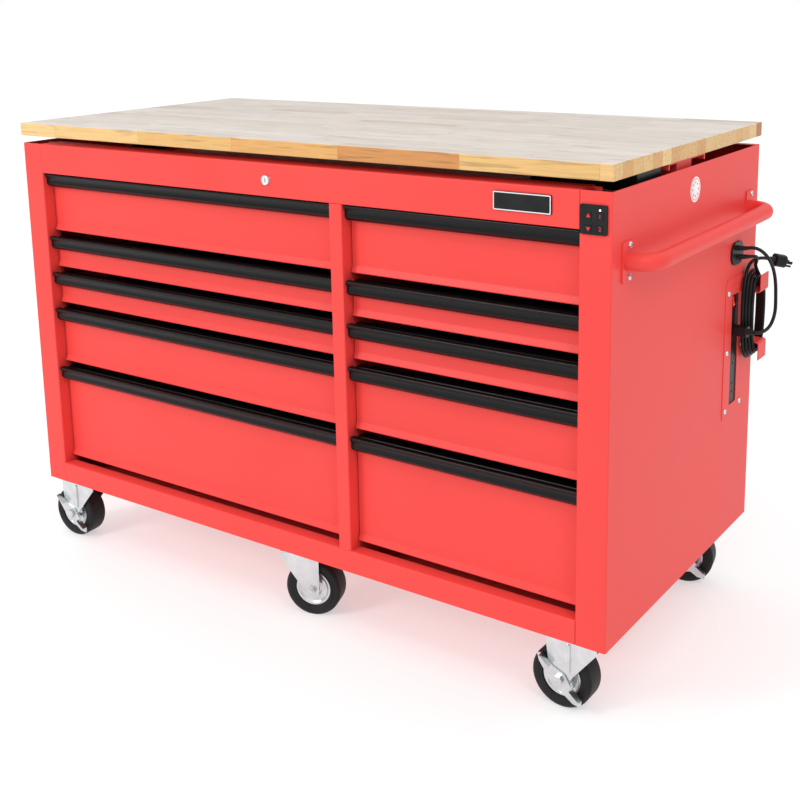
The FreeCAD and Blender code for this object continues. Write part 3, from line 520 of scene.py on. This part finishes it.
# %% Cord helper
def cord_curve(name, points, diameter):
    """A round cord along one NURBS line."""
    data = bpy.data.curves.new(name, "CURVE")
    data.dimensions = "3D"
    spline = data.splines.new("NURBS")
    spline.points.add(len(points) - 1)
    for target, point in zip(spline.points, points):
        target.co = (*point, 1)
    spline.order_u = 3
    spline.use_endpoint_u = True
    spline.resolution_u = 8
    data.resolution_u = 8
    data.bevel_depth = diameter / 2
    data.bevel_resolution = 5
    data.use_fill_caps = True
    data.materials.append(cord_jacket)
    curve = bpy.data.objects.new(name, data)
    bpy.context.scene.collection.objects.link(curve)
    return curve


def spline_points(curve):
    """Points read along the curve's own smooth line, with no thickness."""
    depth, curve.data.bevel_depth = curve.data.bevel_depth, 0
    caps, curve.data.use_fill_caps = curve.data.use_fill_caps, False
    bpy.context.view_layer.update()
    line = bpy.data.meshes.new_from_object(curve.evaluated_get(bpy.context.evaluated_depsgraph_get()))
    points = [vertex.co.copy() for vertex in line.vertices]
    curve.data.bevel_depth, curve.data.use_fill_caps = depth, caps
    bpy.data.meshes.remove(line)
    return points


def length_of(points):
    """The length of a line of points."""
    return sum((b - a).length for a, b in zip(points, points[1:]))


# The facts come first: both leads are 7.5 mm across, about 1.9 m of mains lead and about 0.3 m of lift lead.
CORD_DIAMETER = 0.0075
GROMMET_FLANGE = 4.0
COIL_TOP = 600.0
print("cord diameter", CORD_DIAMETER)

# %% [markdown]
# The coil hangs round both hooks. Nothing ties its turns, so each one is a little larger than the last, and
# lies a cord's thickness nearer to the cabinet. Its turns are points of the same spline, worked out by a
# loop.

# %% Mains lead
mains_start = [
    from_side(GROMMET_FLANGE, 621, 627),
    from_side(26, 621, 630),
    from_side(37, 643, 628),
    from_side(30, 662, 613),
    from_side(22, 674, COIL_TOP - 1),
]
mains_end = [
    from_side(9, 669, COIL_TOP - 1),
    from_side(17, 680, 611),
    from_side(31, 693, 615),
    from_side(42, 706, 611),
]
COIL_TURNS = 3.75
STEPS_PER_TURN = 16
COIL_SQUARENESS = 0.8
COIL_START = math.radians(45)
COIL_MIDDLE_Y, COIL_MIDDLE_Z = 684, 491
HALF_WIDTH_FIRST, HALF_WIDTH_GAIN = 32.0, 14.0
HALF_HEIGHT_FIRST, HALF_HEIGHT_GAIN = 81.0, 22.0
OUT_FIRST, OUT_LOSS = 31.8, 22.0


def squared(value):
    """Pushes a sine or a cosine outwards, which fills out the corners of a turn."""
    return math.copysign(abs(value) ** COIL_SQUARENESS, value)


coil = []
for step in range(round(COIL_TURNS * STEPS_PER_TURN) + 1):
    share = step / (COIL_TURNS * STEPS_PER_TURN)
    angle = COIL_START - 2 * math.pi * step / STEPS_PER_TURN
    across = (HALF_WIDTH_FIRST + HALF_WIDTH_GAIN * share) * squared(math.cos(angle))
    upward = (HALF_HEIGHT_FIRST + HALF_HEIGHT_GAIN * share) * squared(math.sin(angle))
    coil.append(from_side(OUT_FIRST - OUT_LOSS * share, COIL_MIDDLE_Y + across, COIL_MIDDLE_Z + upward))
mains_cord = cord_curve("mains_cord", mains_start + coil + mains_end, CORD_DIAMETER)
mains_line = spline_points(mains_cord)
print("mains lead", round(length_of(mains_line), 3), "m in", len(mains_cord.data.splines[0].points), "points")

# %% [markdown]
# The lift's lead is shorter and hangs free of the coil. It leaves above the mains lead, swings out and
# down, and turns back into the plug in the strip.

# %% Lift lead
LIFT_PLUG_REACH = 44.6
SOCKET_LEVEL = 465.0
lift_route = [
    from_side(GROMMET_FLANGE, 613, 648),
    from_side(19, 613, 648),
    from_side(38, 617, 652),
    from_side(53, 626, 644),
    from_side(63, 644, 624),
    from_side(65, 668, 598),
    from_side(65, 686, 566),
    from_side(64, 694, 531),
    from_side(66, 690, 500),
    from_side(65, 673, 477),
    from_side(62, 648, 467),
    from_side(56, 627, 465.5),
    from_side(LIFT_PLUG_REACH, 620, SOCKET_LEVEL),
]
lift_cord = cord_curve("lift_cord", lift_route, CORD_DIAMETER)
lift_line = spline_points(lift_cord)
print("lift lead", round(length_of(lift_line), 3), "m")

# %% [markdown]
# A short tapered boot guards each cord where it leaves the grommet. It is a tube round the first part of
# the cord's own line, wide at the flange and thin at its tip, with shallow rings so that it can flex.


# %% Strain reliefs
BOOT_SIDES = 20
BOOT_GROOVE = 0.0004
STATIONS_PER_RING = 4


def boot(name, line, length, radii, rings):
    """A ribbed tapering tube round the first stretch of a line."""
    kept = [line[0]]
    gone = 0.0
    for a, b in zip(line, line[1:]):
        gone += (b - a).length
        if gone > length:
            break
        kept.append(b)
    stations = []
    for step in range(STATIONS_PER_RING * rings + 1):
        share = step / (STATIONS_PER_RING * rings)
        spot = share * (len(kept) - 1)
        i = min(int(spot), len(kept) - 2)
        centre = kept[i].lerp(kept[i + 1], spot - i)
        ahead = (kept[i + 1] - kept[i]).normalized()
        groove = BOOT_GROOVE if step % STATIONS_PER_RING >= STATIONS_PER_RING / 2 else 0.0
        radius = radii[0] + (radii[1] - radii[0]) * share - groove
        stations.append((centre, ahead, radius))
    shape = bmesh.new()
    loops = []
    for centre, ahead, radius in stations:
        side = ahead.cross(Vector((0, 0, 1))).normalized()
        up = side.cross(ahead)
        loops.append([
            shape.verts.new(centre + radius * (side * math.cos(a) + up * math.sin(a)))
            for a in (2 * math.pi * k / BOOT_SIDES for k in range(BOOT_SIDES))
        ])
    for a, b in zip(loops, loops[1:]):
        for k in range(BOOT_SIDES):
            n = (k + 1) % BOOT_SIDES
            shape.faces.new((a[k], a[n], b[n], b[k]))
    shape.faces.new(loops[0])
    shape.faces.new(loops[-1])
    bmesh.ops.recalc_face_normals(shape, faces=shape.faces)
    mesh = bpy.data.meshes.new(name)
    shape.to_mesh(mesh)
    shape.free()
    return finish_piece(name, mesh, black_plastic, "cabinet")


BOOT_RADII = (0.0062, 0.0044)
mains_boot = boot("mains_boot", mains_line, 0.024, BOOT_RADII, 5)
lift_boot = boot("lift_boot", lift_line, 0.022, BOOT_RADII, 5)
print("two boots")

# %% [markdown]
# Each cord stands for the CAD tubes and the CAD ring, which stay in the model for collision but are
# hidden. Both cords ride on the cabinet.

for cord in (mains_cord, lift_cord):
    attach(cord, "cabinet")
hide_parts("mains_lead", "mains_coil")
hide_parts("lift_lead")

# %% [markdown]
# ## Wheels
# A caster wheel is turned: a rubber tyre with rounded shoulders and a moulded ring on each side, on two
# dished steel discs. Turning one half section about the axle gives each part, and every wheel is a placed
# copy.

# %% Tyre and hub sections
WHEEL_RADIUS, HALF_WIDTH, HUB_RADIUS = 63.5, 25.5, 40.0
TYRE_STEPS, HUB_STEPS = 72, 64


def in_metres(corners):
    """Millimetre corners (radius, along, rounding) in metres."""
    return [tuple(value * MM for value in corner) for corner in corners]


def mirrored(points):
    """A half section with its other half."""
    return points + [(r, -y, *rest) for r, y, *rest in reversed(points)]


half_tyre = [
    (HUB_RADIUS - 0.5, HALF_WIDTH - 5), (HUB_RADIUS + 1.5, HALF_WIDTH - 1.6, 1.2),
    (HUB_RADIUS + 7, HALF_WIDTH - 0.6, 1.5), (HUB_RADIUS + 8, HALF_WIDTH - 1.5, 0.4),
    (HUB_RADIUS + 9, HALF_WIDTH - 0.5, 0.4), (WHEEL_RADIUS - 6, HALF_WIDTH - 0.2, 3),
    (WHEEL_RADIUS, HALF_WIDTH - 4.5, 6.0),
]
half_hub = [
    (6.1, 28.2), (10.4, 28.2, 0.8), (11.6, 22.0, 1.0), (16.5, 21.2, 2), (20.5, 17.2, 3), (31, 16.6, 3),
    (35.5, 20.4, 2.5), (HUB_RADIUS, 21.2, 1.0), (HUB_RADIUS + 0.2, 19.2),
]
tyre_shape = lathe("tyre_shape", rounded(in_metres(mirrored(half_tyre)), 5), TYRE_STEPS)
hub_shape = lathe("hub_shape", mirrored(rounded(in_metres(half_hub), 4)), HUB_STEPS)
print("tyre", len(tyre_shape.polygons), "faces, hub", len(hub_shape.polygons), "faces")

# %% [markdown]
# Each wheel's joint says where its axle is and which way it points, so the turned shapes are placed from
# the joints and not from copied numbers.


# %% Place the wheels
def on_axle(mesh, joint):
    """A copy of a mesh with its Y axis laid along the joint's axis, at the joint's place."""
    placed = mesh.copy()
    turn = Vector((0, 1, 0)).rotation_difference(Vector(joint["axis"])).to_matrix().to_4x4()
    placed.transform(Matrix.Translation(joint["pos_m"]) @ turn)
    return placed


wheel_joints = [joint for joint in frame["joints"] if joint["name"].endswith("_spin")]
for joint in wheel_joints:
    body = joint["child"]
    tyre = finish_piece(body + "_tyre", on_axle(tyre_shape, joint), tyre_rubber, body)
    finish_piece(body + "_hub", on_axle(hub_shape, joint), zinc, body)
    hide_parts(body)
print(len(wheel_joints), "wheels")

# %% [markdown]
# ## Geometry Nodes helpers
# What repeats is made by Geometry Nodes. A tree gets named inputs for its sizes, ends in Realize Instances
# and Set Material, and its result is kept as a plain mesh, so nothing live is left on the piece.


# %% Geometry Nodes helpers
def geometry_tree(name, inputs):
    """An empty tree with Geometry in and out, and named inputs (label, socket kind, value)."""
    tree = bpy.data.node_groups.new(name, "GeometryNodeTree")
    tree.interface.new_socket("Geometry", in_out="INPUT", socket_type="NodeSocketGeometry")
    tree.interface.new_socket("Geometry", in_out="OUTPUT", socket_type="NodeSocketGeometry")
    for label, kind, value in inputs:
        socket = tree.interface.new_socket(label, in_out="INPUT", socket_type="NodeSocket" + kind)
        if value is not None:
            socket.default_value = value
    return tree, tree.nodes.new("NodeGroupInput"), tree.nodes.new("NodeGroupOutput")


def close_tree(tree, group_in, group_out, result):
    """Ends a tree in Realize Instances and Set Material."""
    solid = add_node(tree, "GeometryNodeRealizeInstances", {0: result}).outputs[0]
    finish = {0: solid, "Material": group_in.outputs["Material"]}
    tree.links.new(add_node(tree, "GeometryNodeSetMaterial", finish).outputs[0], group_out.inputs[0])


def bar_of(tree, x, y, z):
    """A box of this size, centred on nought."""
    extent = add_node(tree, "ShaderNodeCombineXYZ", {0: x, 1: y, 2: z}).outputs[0]
    return add_node(tree, "GeometryNodeMeshCube", {"Size": extent}).outputs[0]


def row_of(tree, thing, length, pitch, axis, level=0.0):
    """Copies of a thing in a centred row along X (axis 0) or Y (axis 1)."""
    count = math_node(tree, "FLOOR", math_node(tree, "DIVIDE", length, pitch))
    reach = math_node(tree, "MULTIPLY", math_node(tree, "SUBTRACT", count, 1.0), pitch)
    first = math_node(tree, "MULTIPLY", reach, -0.5)
    start = add_node(tree, "ShaderNodeCombineXYZ", {axis: first, 2: level}).outputs[0]
    step = add_node(tree, "ShaderNodeCombineXYZ", {axis: pitch}).outputs[0]
    line = add_node(tree, "GeometryNodeMeshLine", {"Count": count, "Start Location": start, "Offset": step})
    copies = {"Points": line.outputs[0], "Instance": thing}
    return add_node(tree, "GeometryNodeInstanceOnPoints", copies).outputs[0]


def joined(tree, *parts):
    """Parts joined into one geometry."""
    join = tree.nodes.new("GeometryNodeJoinGeometry")
    for part in parts:
        tree.links.new(part, join.inputs[0])
    return join.outputs[0]


def bake_tree(name, tree, values, mesh=None):
    """Runs a tree with these input values, and keeps the result as a plain mesh."""
    start = bpy.data.objects.new(name, mesh or bpy.data.meshes.new(name))
    bpy.context.scene.collection.objects.link(start)
    modifier = start.modifiers.new("nodes", "NODES")
    modifier.node_group = tree
    sockets = {item.name: item.identifier for item in tree.interface.items_tree if item.in_out == "INPUT"}
    for label, value in values.items():
        modifier[sockets[label]] = value
    bpy.context.view_layer.update()
    result = bpy.data.meshes.new_from_object(start.evaluated_get(bpy.context.evaluated_depsgraph_get()))
    start.modifiers.clear()
    bpy.data.objects.remove(start)
    return result


print("Geometry Nodes helpers ready")

# %% [markdown]
# ## Drawer liners
# Each drawer has a ribbed rubber mat that stops tools from sliding. It is a thin sheet with one rib every
# few millimetres, a textbook job for a mesh line with a bar instanced on each point.

# %% Liner tree
liner_tree, group_in, group_out = geometry_tree("ribbed_liner", [
    ("Width", "Float", 0.8), ("Depth", "Float", 0.58), ("Thickness", "Float", 0.0015),
    ("Rib pitch", "Float", 0.008), ("Rib size", "Float", 0.0014), ("Material", "Material", None),
])
size = group_in.outputs
sheet = bar_of(liner_tree, size["Width"], size["Depth"], size["Thickness"])
half_sheet = math_node(liner_tree, "DIVIDE", size["Thickness"], 2.0)
lift_sheet = add_node(liner_tree, "ShaderNodeCombineXYZ", {2: half_sheet}).outputs[0]
sheet = add_node(liner_tree, "GeometryNodeTransform", {0: sheet, "Translation": lift_sheet}).outputs[0]
rib = bar_of(liner_tree, size["Rib size"], size["Depth"], size["Rib size"])
ribs = row_of(liner_tree, rib, size["Width"], size["Rib pitch"], axis=0, level=size["Thickness"])
close_tree(liner_tree, group_in, group_out, joined(liner_tree, sheet, ribs))
print("liner tree", len(liner_tree.nodes), "nodes")

# %% [markdown]
# A liner is cut a little smaller than its tray, as a real one is, and rests on the tray's floor. The
# drawer's own box gives the width, so both columns are fitted by the same lines.

# %% Lay a liner in each drawer
DRAWERS = [name for name in bodies if name.startswith("drawer_")]
TRAY_INSET, TRAY_FRONT, TRAY_LENGTH, TRAY_FLOOR = 11.5, 52.0, 598.0, 9.0
LINER_SIDE_GAP, LINER_END_GAP, LINER_RISE = 3.0, 6.0, 0.2
for name in DRAWERS:
    low_corner, high_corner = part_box(name)
    width = high_corner[0] - low_corner[0] - 2 * TRAY_INSET * MM - LINER_SIDE_GAP * MM
    mesh = bake_tree(name + "_liner_shape", liner_tree, {
        "Width": width, "Depth": (TRAY_LENGTH - LINER_END_GAP) * MM, "Material": liner_rubber,
    })
    middle_x = (low_corner[0] + high_corner[0]) / 2
    middle_y = cabinet_lo[1] + (TRAY_FRONT + TRAY_LENGTH / 2) * MM
    rest_z = low_corner[2] + (TRAY_FLOOR + LINER_RISE) * MM
    mesh.transform(Matrix.Translation((middle_x, middle_y, rest_z)))
    finish_piece(name + "_liner", mesh, liner_rubber, name)
print(len(DRAWERS), "liners")

# %% [markdown]
# ## Screws
# The handle's plates and the strip's cover are held by round-headed screws with a cross recess. One head is
# modelled, and Geometry Nodes put a copy on each point of a mesh that is nothing but screw places.


# %% Screw head
HEAD_RINGS, HEAD_STEPS = 7, 32
DOME_ANGLE = 0.42 * math.pi
SLOT_LENGTH, SLOT_WIDTH = 1.25, 0.24


def cross_head(name, radius, height, recess):
    """A domed head along +Z with a cross cut into it. The slots' sizes are shares of its radius."""
    shape = bmesh.new()
    loops = []
    turns = [2 * math.pi * k / HEAD_STEPS for k in range(HEAD_STEPS)]
    for ring in range(HEAD_RINGS):
        rise = DOME_ANGLE * ring / (HEAD_RINGS - 1)
        r = radius * math.cos(rise)
        z = height * math.sin(rise) / math.sin(DOME_ANGLE)
        loops.append([shape.verts.new((r * math.cos(a), r * math.sin(a), z)) for a in turns])
    for a, b in zip(loops, loops[1:]):
        for k in range(HEAD_STEPS):
            n = (k + 1) % HEAD_STEPS
            shape.faces.new((a[k], a[n], b[n], b[k]))
    shape.faces.new(loops[-1])
    shape.faces.new(reversed(loops[0]))
    mesh = bpy.data.meshes.new(name)
    shape.to_mesh(mesh)
    shape.free()
    head = bpy.data.objects.new(name, mesh)
    bpy.context.scene.collection.objects.link(head)
    slot_size = Matrix.Diagonal((radius * SLOT_LENGTH, radius * SLOT_WIDTH, recess * 2, 1))
    for turn in (0, math.pi / 2):
        bar = bpy.data.objects.new("bar", bpy.data.meshes.new("bar"))
        cutter = bmesh.new()
        slot_place = Matrix.Translation((0, 0, height)) @ Matrix.Rotation(turn, 4, "Z")
        bmesh.ops.create_cube(cutter, size=1.0, matrix=slot_place @ slot_size)
        cutter.to_mesh(bar.data)
        cutter.free()
        bpy.context.scene.collection.objects.link(bar)
        cut = head.modifiers.new("recess", "BOOLEAN")
        cut.object = bar
        cut.solver = "EXACT"
        bpy.context.view_layer.update()
        result = bpy.data.meshes.new_from_object(head.evaluated_get(bpy.context.evaluated_depsgraph_get()))
        head.modifiers.clear()
        head.data = result
        bpy.data.objects.remove(bar)
    mesh = head.data
    bpy.data.objects.remove(head)
    return mesh


screw_shape = cross_head("screw_shape", 0.0062, 0.0042, 0.002)
print("screw head", len(screw_shape.polygons), "faces")

# %% [markdown]
# No two screws stop at the same angle. A random turn about each head's own axis, from a fixed seed, sets
# them apart.

# %% Screw tree
SPIN_LIMIT, SPIN_SEED = 1.4, 7
screw_tree, group_in, group_out = geometry_tree("screws_on_points", [
    ("Head", "Object", None), ("Turn", "Vector", (0, 0, 0)), ("Material", "Material", None),
])
head = add_node(screw_tree, "GeometryNodeObjectInfo", {"Object": group_in.outputs["Head"]})
index = screw_tree.nodes.new("GeometryNodeInputIndex").outputs[0]
spin = add_node(
    screw_tree, "FunctionNodeRandomValue",
    {"Max": SPIN_LIMIT, "ID": index, "Seed": SPIN_SEED}, data_type="FLOAT",
)
spin_turn = add_node(screw_tree, "ShaderNodeCombineXYZ", {2: spin.outputs[1]}).outputs[0]
heads = add_node(screw_tree, "GeometryNodeInstanceOnPoints", {
    "Points": group_in.outputs["Geometry"], "Instance": head.outputs["Geometry"],
    "Rotation": group_in.outputs["Turn"],
}).outputs[0]
spun = add_node(screw_tree, "GeometryNodeRotateInstances", {0: heads, "Rotation": spin_turn}).outputs[0]
close_tree(screw_tree, group_in, group_out, spun)
print("screw tree", len(screw_tree.nodes), "nodes")

# %% [markdown]
# The screws' places follow the plates: one pair above and below each end of the handle's tube, and three
# down each long edge of the strip's cover.

# %% Place the screws
HANDLE_LEVEL, HANDLE_SCREW_DROP, HANDLE_PLATE, HANDLE_ENDS = 725.0, 29.0, 3.0, (68, 690)
COVER_SHEET, COVER_EDGES, COVER_LEVELS = 1.5, (577, 665), (292, 423.5, 554)
screw_points = [
    from_side(HANDLE_PLATE, y, HANDLE_LEVEL + dz)
    for y in HANDLE_ENDS for dz in (-HANDLE_SCREW_DROP, HANDLE_SCREW_DROP)
]
screw_points += [from_side(COVER_SHEET, y, z) for z in COVER_LEVELS for y in COVER_EDGES]
point_mesh = bpy.data.meshes.new("screw_points")
point_mesh.from_pydata(screw_points, [], [])
head_object = bpy.data.objects.new("screw_head", screw_shape)
screws = bake_tree("side_screws_shape", screw_tree, {
    "Head": head_object, "Turn": (0.0, math.pi / 2, 0.0), "Material": zinc,
}, point_mesh)
finish_piece("side_screws", screws, zinc, "cabinet")
bpy.data.objects.remove(head_object)
print(len(screw_points), "screws")

# %% [markdown]
# ## Slide balls
# Each drawer's moving slide member runs on rows of steel balls held in a cage. They show when a drawer is
# open: a plated strip with a row of balls along its middle.

# %% Slide tree
slide_tree, group_in, group_out = geometry_tree("ball_slide", [
    ("Length", "Float", 0.59), ("Height", "Float", 0.02), ("Thickness", "Float", 0.0012),
    ("Ball pitch", "Float", 0.014), ("Ball radius", "Float", 0.0016), ("Material", "Material", None),
])
size = group_in.outputs
strip = bar_of(slide_tree, size["Thickness"], size["Length"], size["Height"])
ball = add_node(slide_tree, "GeometryNodeMeshIcoSphere", {"Radius": size["Ball radius"], "Subdivisions": 2})
balls = row_of(slide_tree, ball.outputs[0], size["Length"], size["Ball pitch"], axis=1)
close_tree(slide_tree, group_in, group_out, joined(slide_tree, strip, balls))
print("slide tree", len(slide_tree.nodes), "nodes")

# %% [markdown]
# One strip lies along each side of a drawer, sunk a little into the moving member so that it doesn't float.
# The pair is one piece, because both ride out together.

# %% Slides on each drawer
RAIL_LEVEL, RUNNER_FRONT, RUNNER_LENGTH, RUNNER_HEIGHT, STRIP_SINK = 30.0, 52.5, 594.0, 24.0, 0.2
for name in DRAWERS:
    low_corner, high_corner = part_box(name)
    middle_y = cabinet_lo[1] + (RUNNER_FRONT + RUNNER_LENGTH / 2) * MM
    level_z = low_corner[2] + RAIL_LEVEL * MM
    whole = bmesh.new()
    for x in (low_corner[0] + STRIP_SINK * MM, high_corner[0] - STRIP_SINK * MM):
        strip_mesh = bake_tree(name + "_slide_shape", slide_tree, {
            "Length": RUNNER_LENGTH * MM, "Height": RUNNER_HEIGHT * MM, "Material": slide_zinc,
        })
        strip_mesh.transform(Matrix.Translation((x, middle_y, level_z)))
        whole.from_mesh(strip_mesh)
    mesh = bpy.data.meshes.new(name + "_slides")
    whole.to_mesh(mesh)
    whole.free()
    finish_piece(name + "_slides", mesh, slide_zinc, name)
print(len(DRAWERS), "pairs of slides")

# %% [markdown]
# ## Flat plates, rims and marks
# The key panel, the blank name plate and the round sticker carry small raised marks. Each is a flat outline
# given a thickness, with a hole in it where it is a ring.


# %% Raised plates
def raised(name, outline, depth, to_place, material, body, hole=None):
    """A flat outline, with a hole if one is given, made solid. to_place turns (u, v, out) into a point."""
    shape = bmesh.new()
    loops = [outline] + ([hole] if hole else [])
    rims = []
    for level in (0.0, depth):
        rims.append([[shape.verts.new(to_place(u, v, level)) for u, v in loop] for loop in loops])
    for a, b in zip(*rims):
        for k in range(len(a)):
            n = (k + 1) % len(a)
            shape.faces.new((a[k], a[n], b[n], b[k]))
    for level in rims:
        if hole:
            outer, inner = level
            for k in range(len(outer)):
                n = (k + 1) % len(outer)
                shape.faces.new((outer[k], outer[n], inner[n], inner[k]))
        else:
            shape.faces.new(level[0])
    bmesh.ops.recalc_face_normals(shape, faces=shape.faces)
    mesh = bpy.data.meshes.new(name)
    shape.to_mesh(mesh)
    shape.free()
    return finish_piece(name, mesh, material, body)


def on_front(out):
    """Places points on the front, so far out from it."""
    return lambda u, v, depth: place(u, -out - depth / MM, v)


def on_side(out):
    """Places points on the right side, so far out from it."""
    return lambda u, v, depth: from_side(out + depth / MM, u, v)


def ring_points(centre, radius, count, turn=0.0):
    """Evenly spaced points round a circle."""
    angles = [turn + 2 * math.pi * k / count for k in range(count)]
    return [(centre[0] + radius * math.cos(a), centre[1] + radius * math.sin(a)) for a in angles]


def frame_corners(u0, u1, v0, v1, radius):
    """A rectangle with rounded corners."""
    return rounded([(u0, v0, radius), (u1, v0, radius), (u1, v1, radius), (u0, v1, radius)], 4)


print("plate helpers ready")

# %% [markdown]
# The name plate is left blank, with nothing but a bright rim round its edge: one rounded rectangle inside
# another.

# %% Name plate rim
PLATE_LEFT, PLATE_RIGHT, PLATE_BOTTOM, PLATE_TOP, PLATE_FACE = 1316.6, 1433.4, 807.6, 841.4, 3.0
RIM_WIDTH, RIM_THICKNESS = 2.0, 0.0007
rim_outside = frame_corners(PLATE_LEFT, PLATE_RIGHT, PLATE_BOTTOM, PLATE_TOP, 2.2)
rim_inside = frame_corners(
    PLATE_LEFT + RIM_WIDTH, PLATE_RIGHT - RIM_WIDTH, PLATE_BOTTOM + RIM_WIDTH, PLATE_TOP - RIM_WIDTH, 1.4,
)
raised(
    "name_plate_rim", rim_outside, RIM_THICKNESS, on_front(PLATE_FACE), chrome, "cabinet",
    hole=rim_inside,
)
print("blank name plate with a bright rim")

# %% [markdown]
# ## Key marks
# The left keys raise and lower the top, so they carry triangles. The right ones call up a stored height,
# and have plain numbers. The marks ride on the keys, so they move in with them.

# %% Key marks
PANEL_LEFT, PANEL_TOP, PANEL_FACE, KEY_FACE = 1490.0, 832.5, 4.0, 4.4
LEFT_KEYS, RIGHT_KEYS = PANEL_LEFT + 16, PANEL_LEFT + 38
UPPER_KEYS, LOWER_KEYS = PANEL_TOP - 20, PANEL_TOP - 42
TRIANGLE_RADIUS, TRIANGLE_THICKNESS = 4.6, 0.00025
DIGIT_SIZE, DIGIT_THICKNESS, DIGIT_OUT = 0.0105, 0.00012, 0.1
LAMP_DROP, LAMP_RADIUS, LAMP_THICKNESS = 8.8, 1.9, 0.0005
for key, level, turn in (("up_key", UPPER_KEYS, 90), ("down_key", LOWER_KEYS, -90)):
    triangle = ring_points((LEFT_KEYS, level), TRIANGLE_RADIUS, 3, math.radians(turn))
    raised(key + "_mark", triangle, TRIANGLE_THICKNESS, on_front(KEY_FACE), red_mark, key)
for key, level, digit in (("memory_key_1", UPPER_KEYS, "1"), ("memory_key_2", LOWER_KEYS, "2")):
    text = bpy.data.curves.new(key + "_text", "FONT")
    text.body = digit
    text.size = DIGIT_SIZE
    text.extrude = DIGIT_THICKNESS
    text.align_x = "CENTER"
    text.align_y = "CENTER"
    holder = bpy.data.objects.new(key + "_text", text)
    bpy.context.scene.collection.objects.link(holder)
    bpy.context.view_layer.update()
    mesh = bpy.data.meshes.new_from_object(holder.evaluated_get(bpy.context.evaluated_depsgraph_get()))
    digit_place = Matrix.Translation(place(RIGHT_KEYS, -KEY_FACE - DIGIT_OUT, level))
    mesh.transform(digit_place @ Matrix.Rotation(math.pi / 2, 4, "X"))
    bpy.data.objects.remove(holder)
    finish_piece(key + "_mark", mesh, red_mark, key)
lamp = ring_points((RIGHT_KEYS, PANEL_TOP - LAMP_DROP), LAMP_RADIUS, 20)
raised("panel_lamp", lamp, LAMP_THICKNESS, on_front(PANEL_FACE), lamp_white, "cabinet")
print("four key marks and a lamp")

# %% [markdown]
# ## Round sticker
# A round label sits near the back of the right side. It is a white disc with a plain red ring and a ring of
# dots, and says nothing.

# %% Round sticker
STICKER = (372.0, 808.0)
STICKER_RADIUS, RING_RADIUS, RING_HOLE, DOTS_RADIUS, DOT_RADIUS, DOTS = 25, 21.5, 20.2, 13.5, 2.2, 8
LABEL_THICKNESS, INK_THICKNESS = 0.0003, 0.00015
on_label, on_ink = on_side(0.05), on_side(0.35)
raised(
    "sticker", ring_points(STICKER, STICKER_RADIUS, 64), LABEL_THICKNESS, on_label, white_mark, "cabinet",
)
raised(
    "sticker_ring", ring_points(STICKER, RING_RADIUS, 64), INK_THICKNESS, on_ink, red_mark, "cabinet",
    hole=ring_points(STICKER, RING_HOLE, 64),
)
for number, centre in enumerate(ring_points(STICKER, DOTS_RADIUS, DOTS)):
    dot = ring_points(centre, DOT_RADIUS, 16)
    raised(f"sticker_dot_{number + 1}", dot, INK_THICKNESS, on_ink, red_mark, "cabinet")
print("sticker")

# %% [markdown]
# ## Floor and light
# A pale floor that runs out of sight, and a soft even studio: a large low key from the front left and a
# small light high on the right. The floor glows a little, as a light table does, so that shadows stay light
# and the red sides tint it less. The sky is plain white where the camera looks at it, and casts a light
# that is weak near the floor and strong overhead.


# %% Floor and light
def area_light(name, spot, aim_at, size, power):
    """A round area light that faces a point."""
    data = bpy.data.lights.new(name, "AREA")
    data.shape = "DISK"
    data.size = size
    data.energy = power
    light = bpy.data.objects.new(name, data)
    light.location = spot
    light.rotation_mode = "QUATERNION"
    light.rotation_quaternion = (Vector(aim_at) - Vector(spot)).to_track_quat("-Z", "Y")
    bpy.context.scene.collection.objects.link(light)


floor_mesh = bpy.data.meshes.new("floor")
floor_mesh.from_pydata([(-40, -40, 0), (40, -40, 0), (40, 40, 0), (-40, 40, 0)], [], [(0, 1, 2, 3)])
floor_material, tree, shader = new_material("studio_floor", (0.5, 0.5, 0.5), 0.9)
shader.inputs["Specular IOR Level"].default_value = 0.1
shader.inputs["Emission Color"].default_value = (1, 1, 1, 1)
shader.inputs["Emission Strength"].default_value = 0.5
floor_mesh.materials.append(floor_material)
floor = bpy.data.objects.new("floor", floor_mesh)
bpy.context.scene.collection.objects.link(floor)
SKY_LOW, SKY_HIGH = 0.42, 1.2
SKY_FROM, SKY_TO = -0.1, 0.75
world = bpy.data.worlds.new("studio")
world.use_nodes = True
sky = world.node_tree
sky_way = sky.nodes.new("ShaderNodeTexCoord").outputs["Generated"]
aloft = add_node(sky, "ShaderNodeSeparateXYZ", {0: sky_way}).outputs["Z"]
sky_range = {RANGE_VALUE: aloft, 1: SKY_FROM, 2: SKY_TO, RANGE_LOW: SKY_LOW, RANGE_HIGH: SKY_HIGH}
shade = add_node(sky, "ShaderNodeMapRange", sky_range).outputs[0]
seen = sky.nodes.new("ShaderNodeLightPath").outputs["Is Camera Ray"]
strength = add_node(sky, "ShaderNodeMix", {"Factor": seen, 2: shade, 3: 1.0}, data_type="FLOAT").outputs[0]
background = sky.nodes["Background"]
background.inputs["Color"].default_value = (1, 1, 1, 1)
sky.links.new(strength, background.inputs["Strength"])
bpy.context.scene.world = world
area_light("key", (-1.4, -3.4, 2.4), (0, 0, 0.5), 1.2, 54)
area_light("side", (2.6, -1.8, 3.0), (0.8, 0, 0.7), 0.7, 20)
print("floor and two lights")
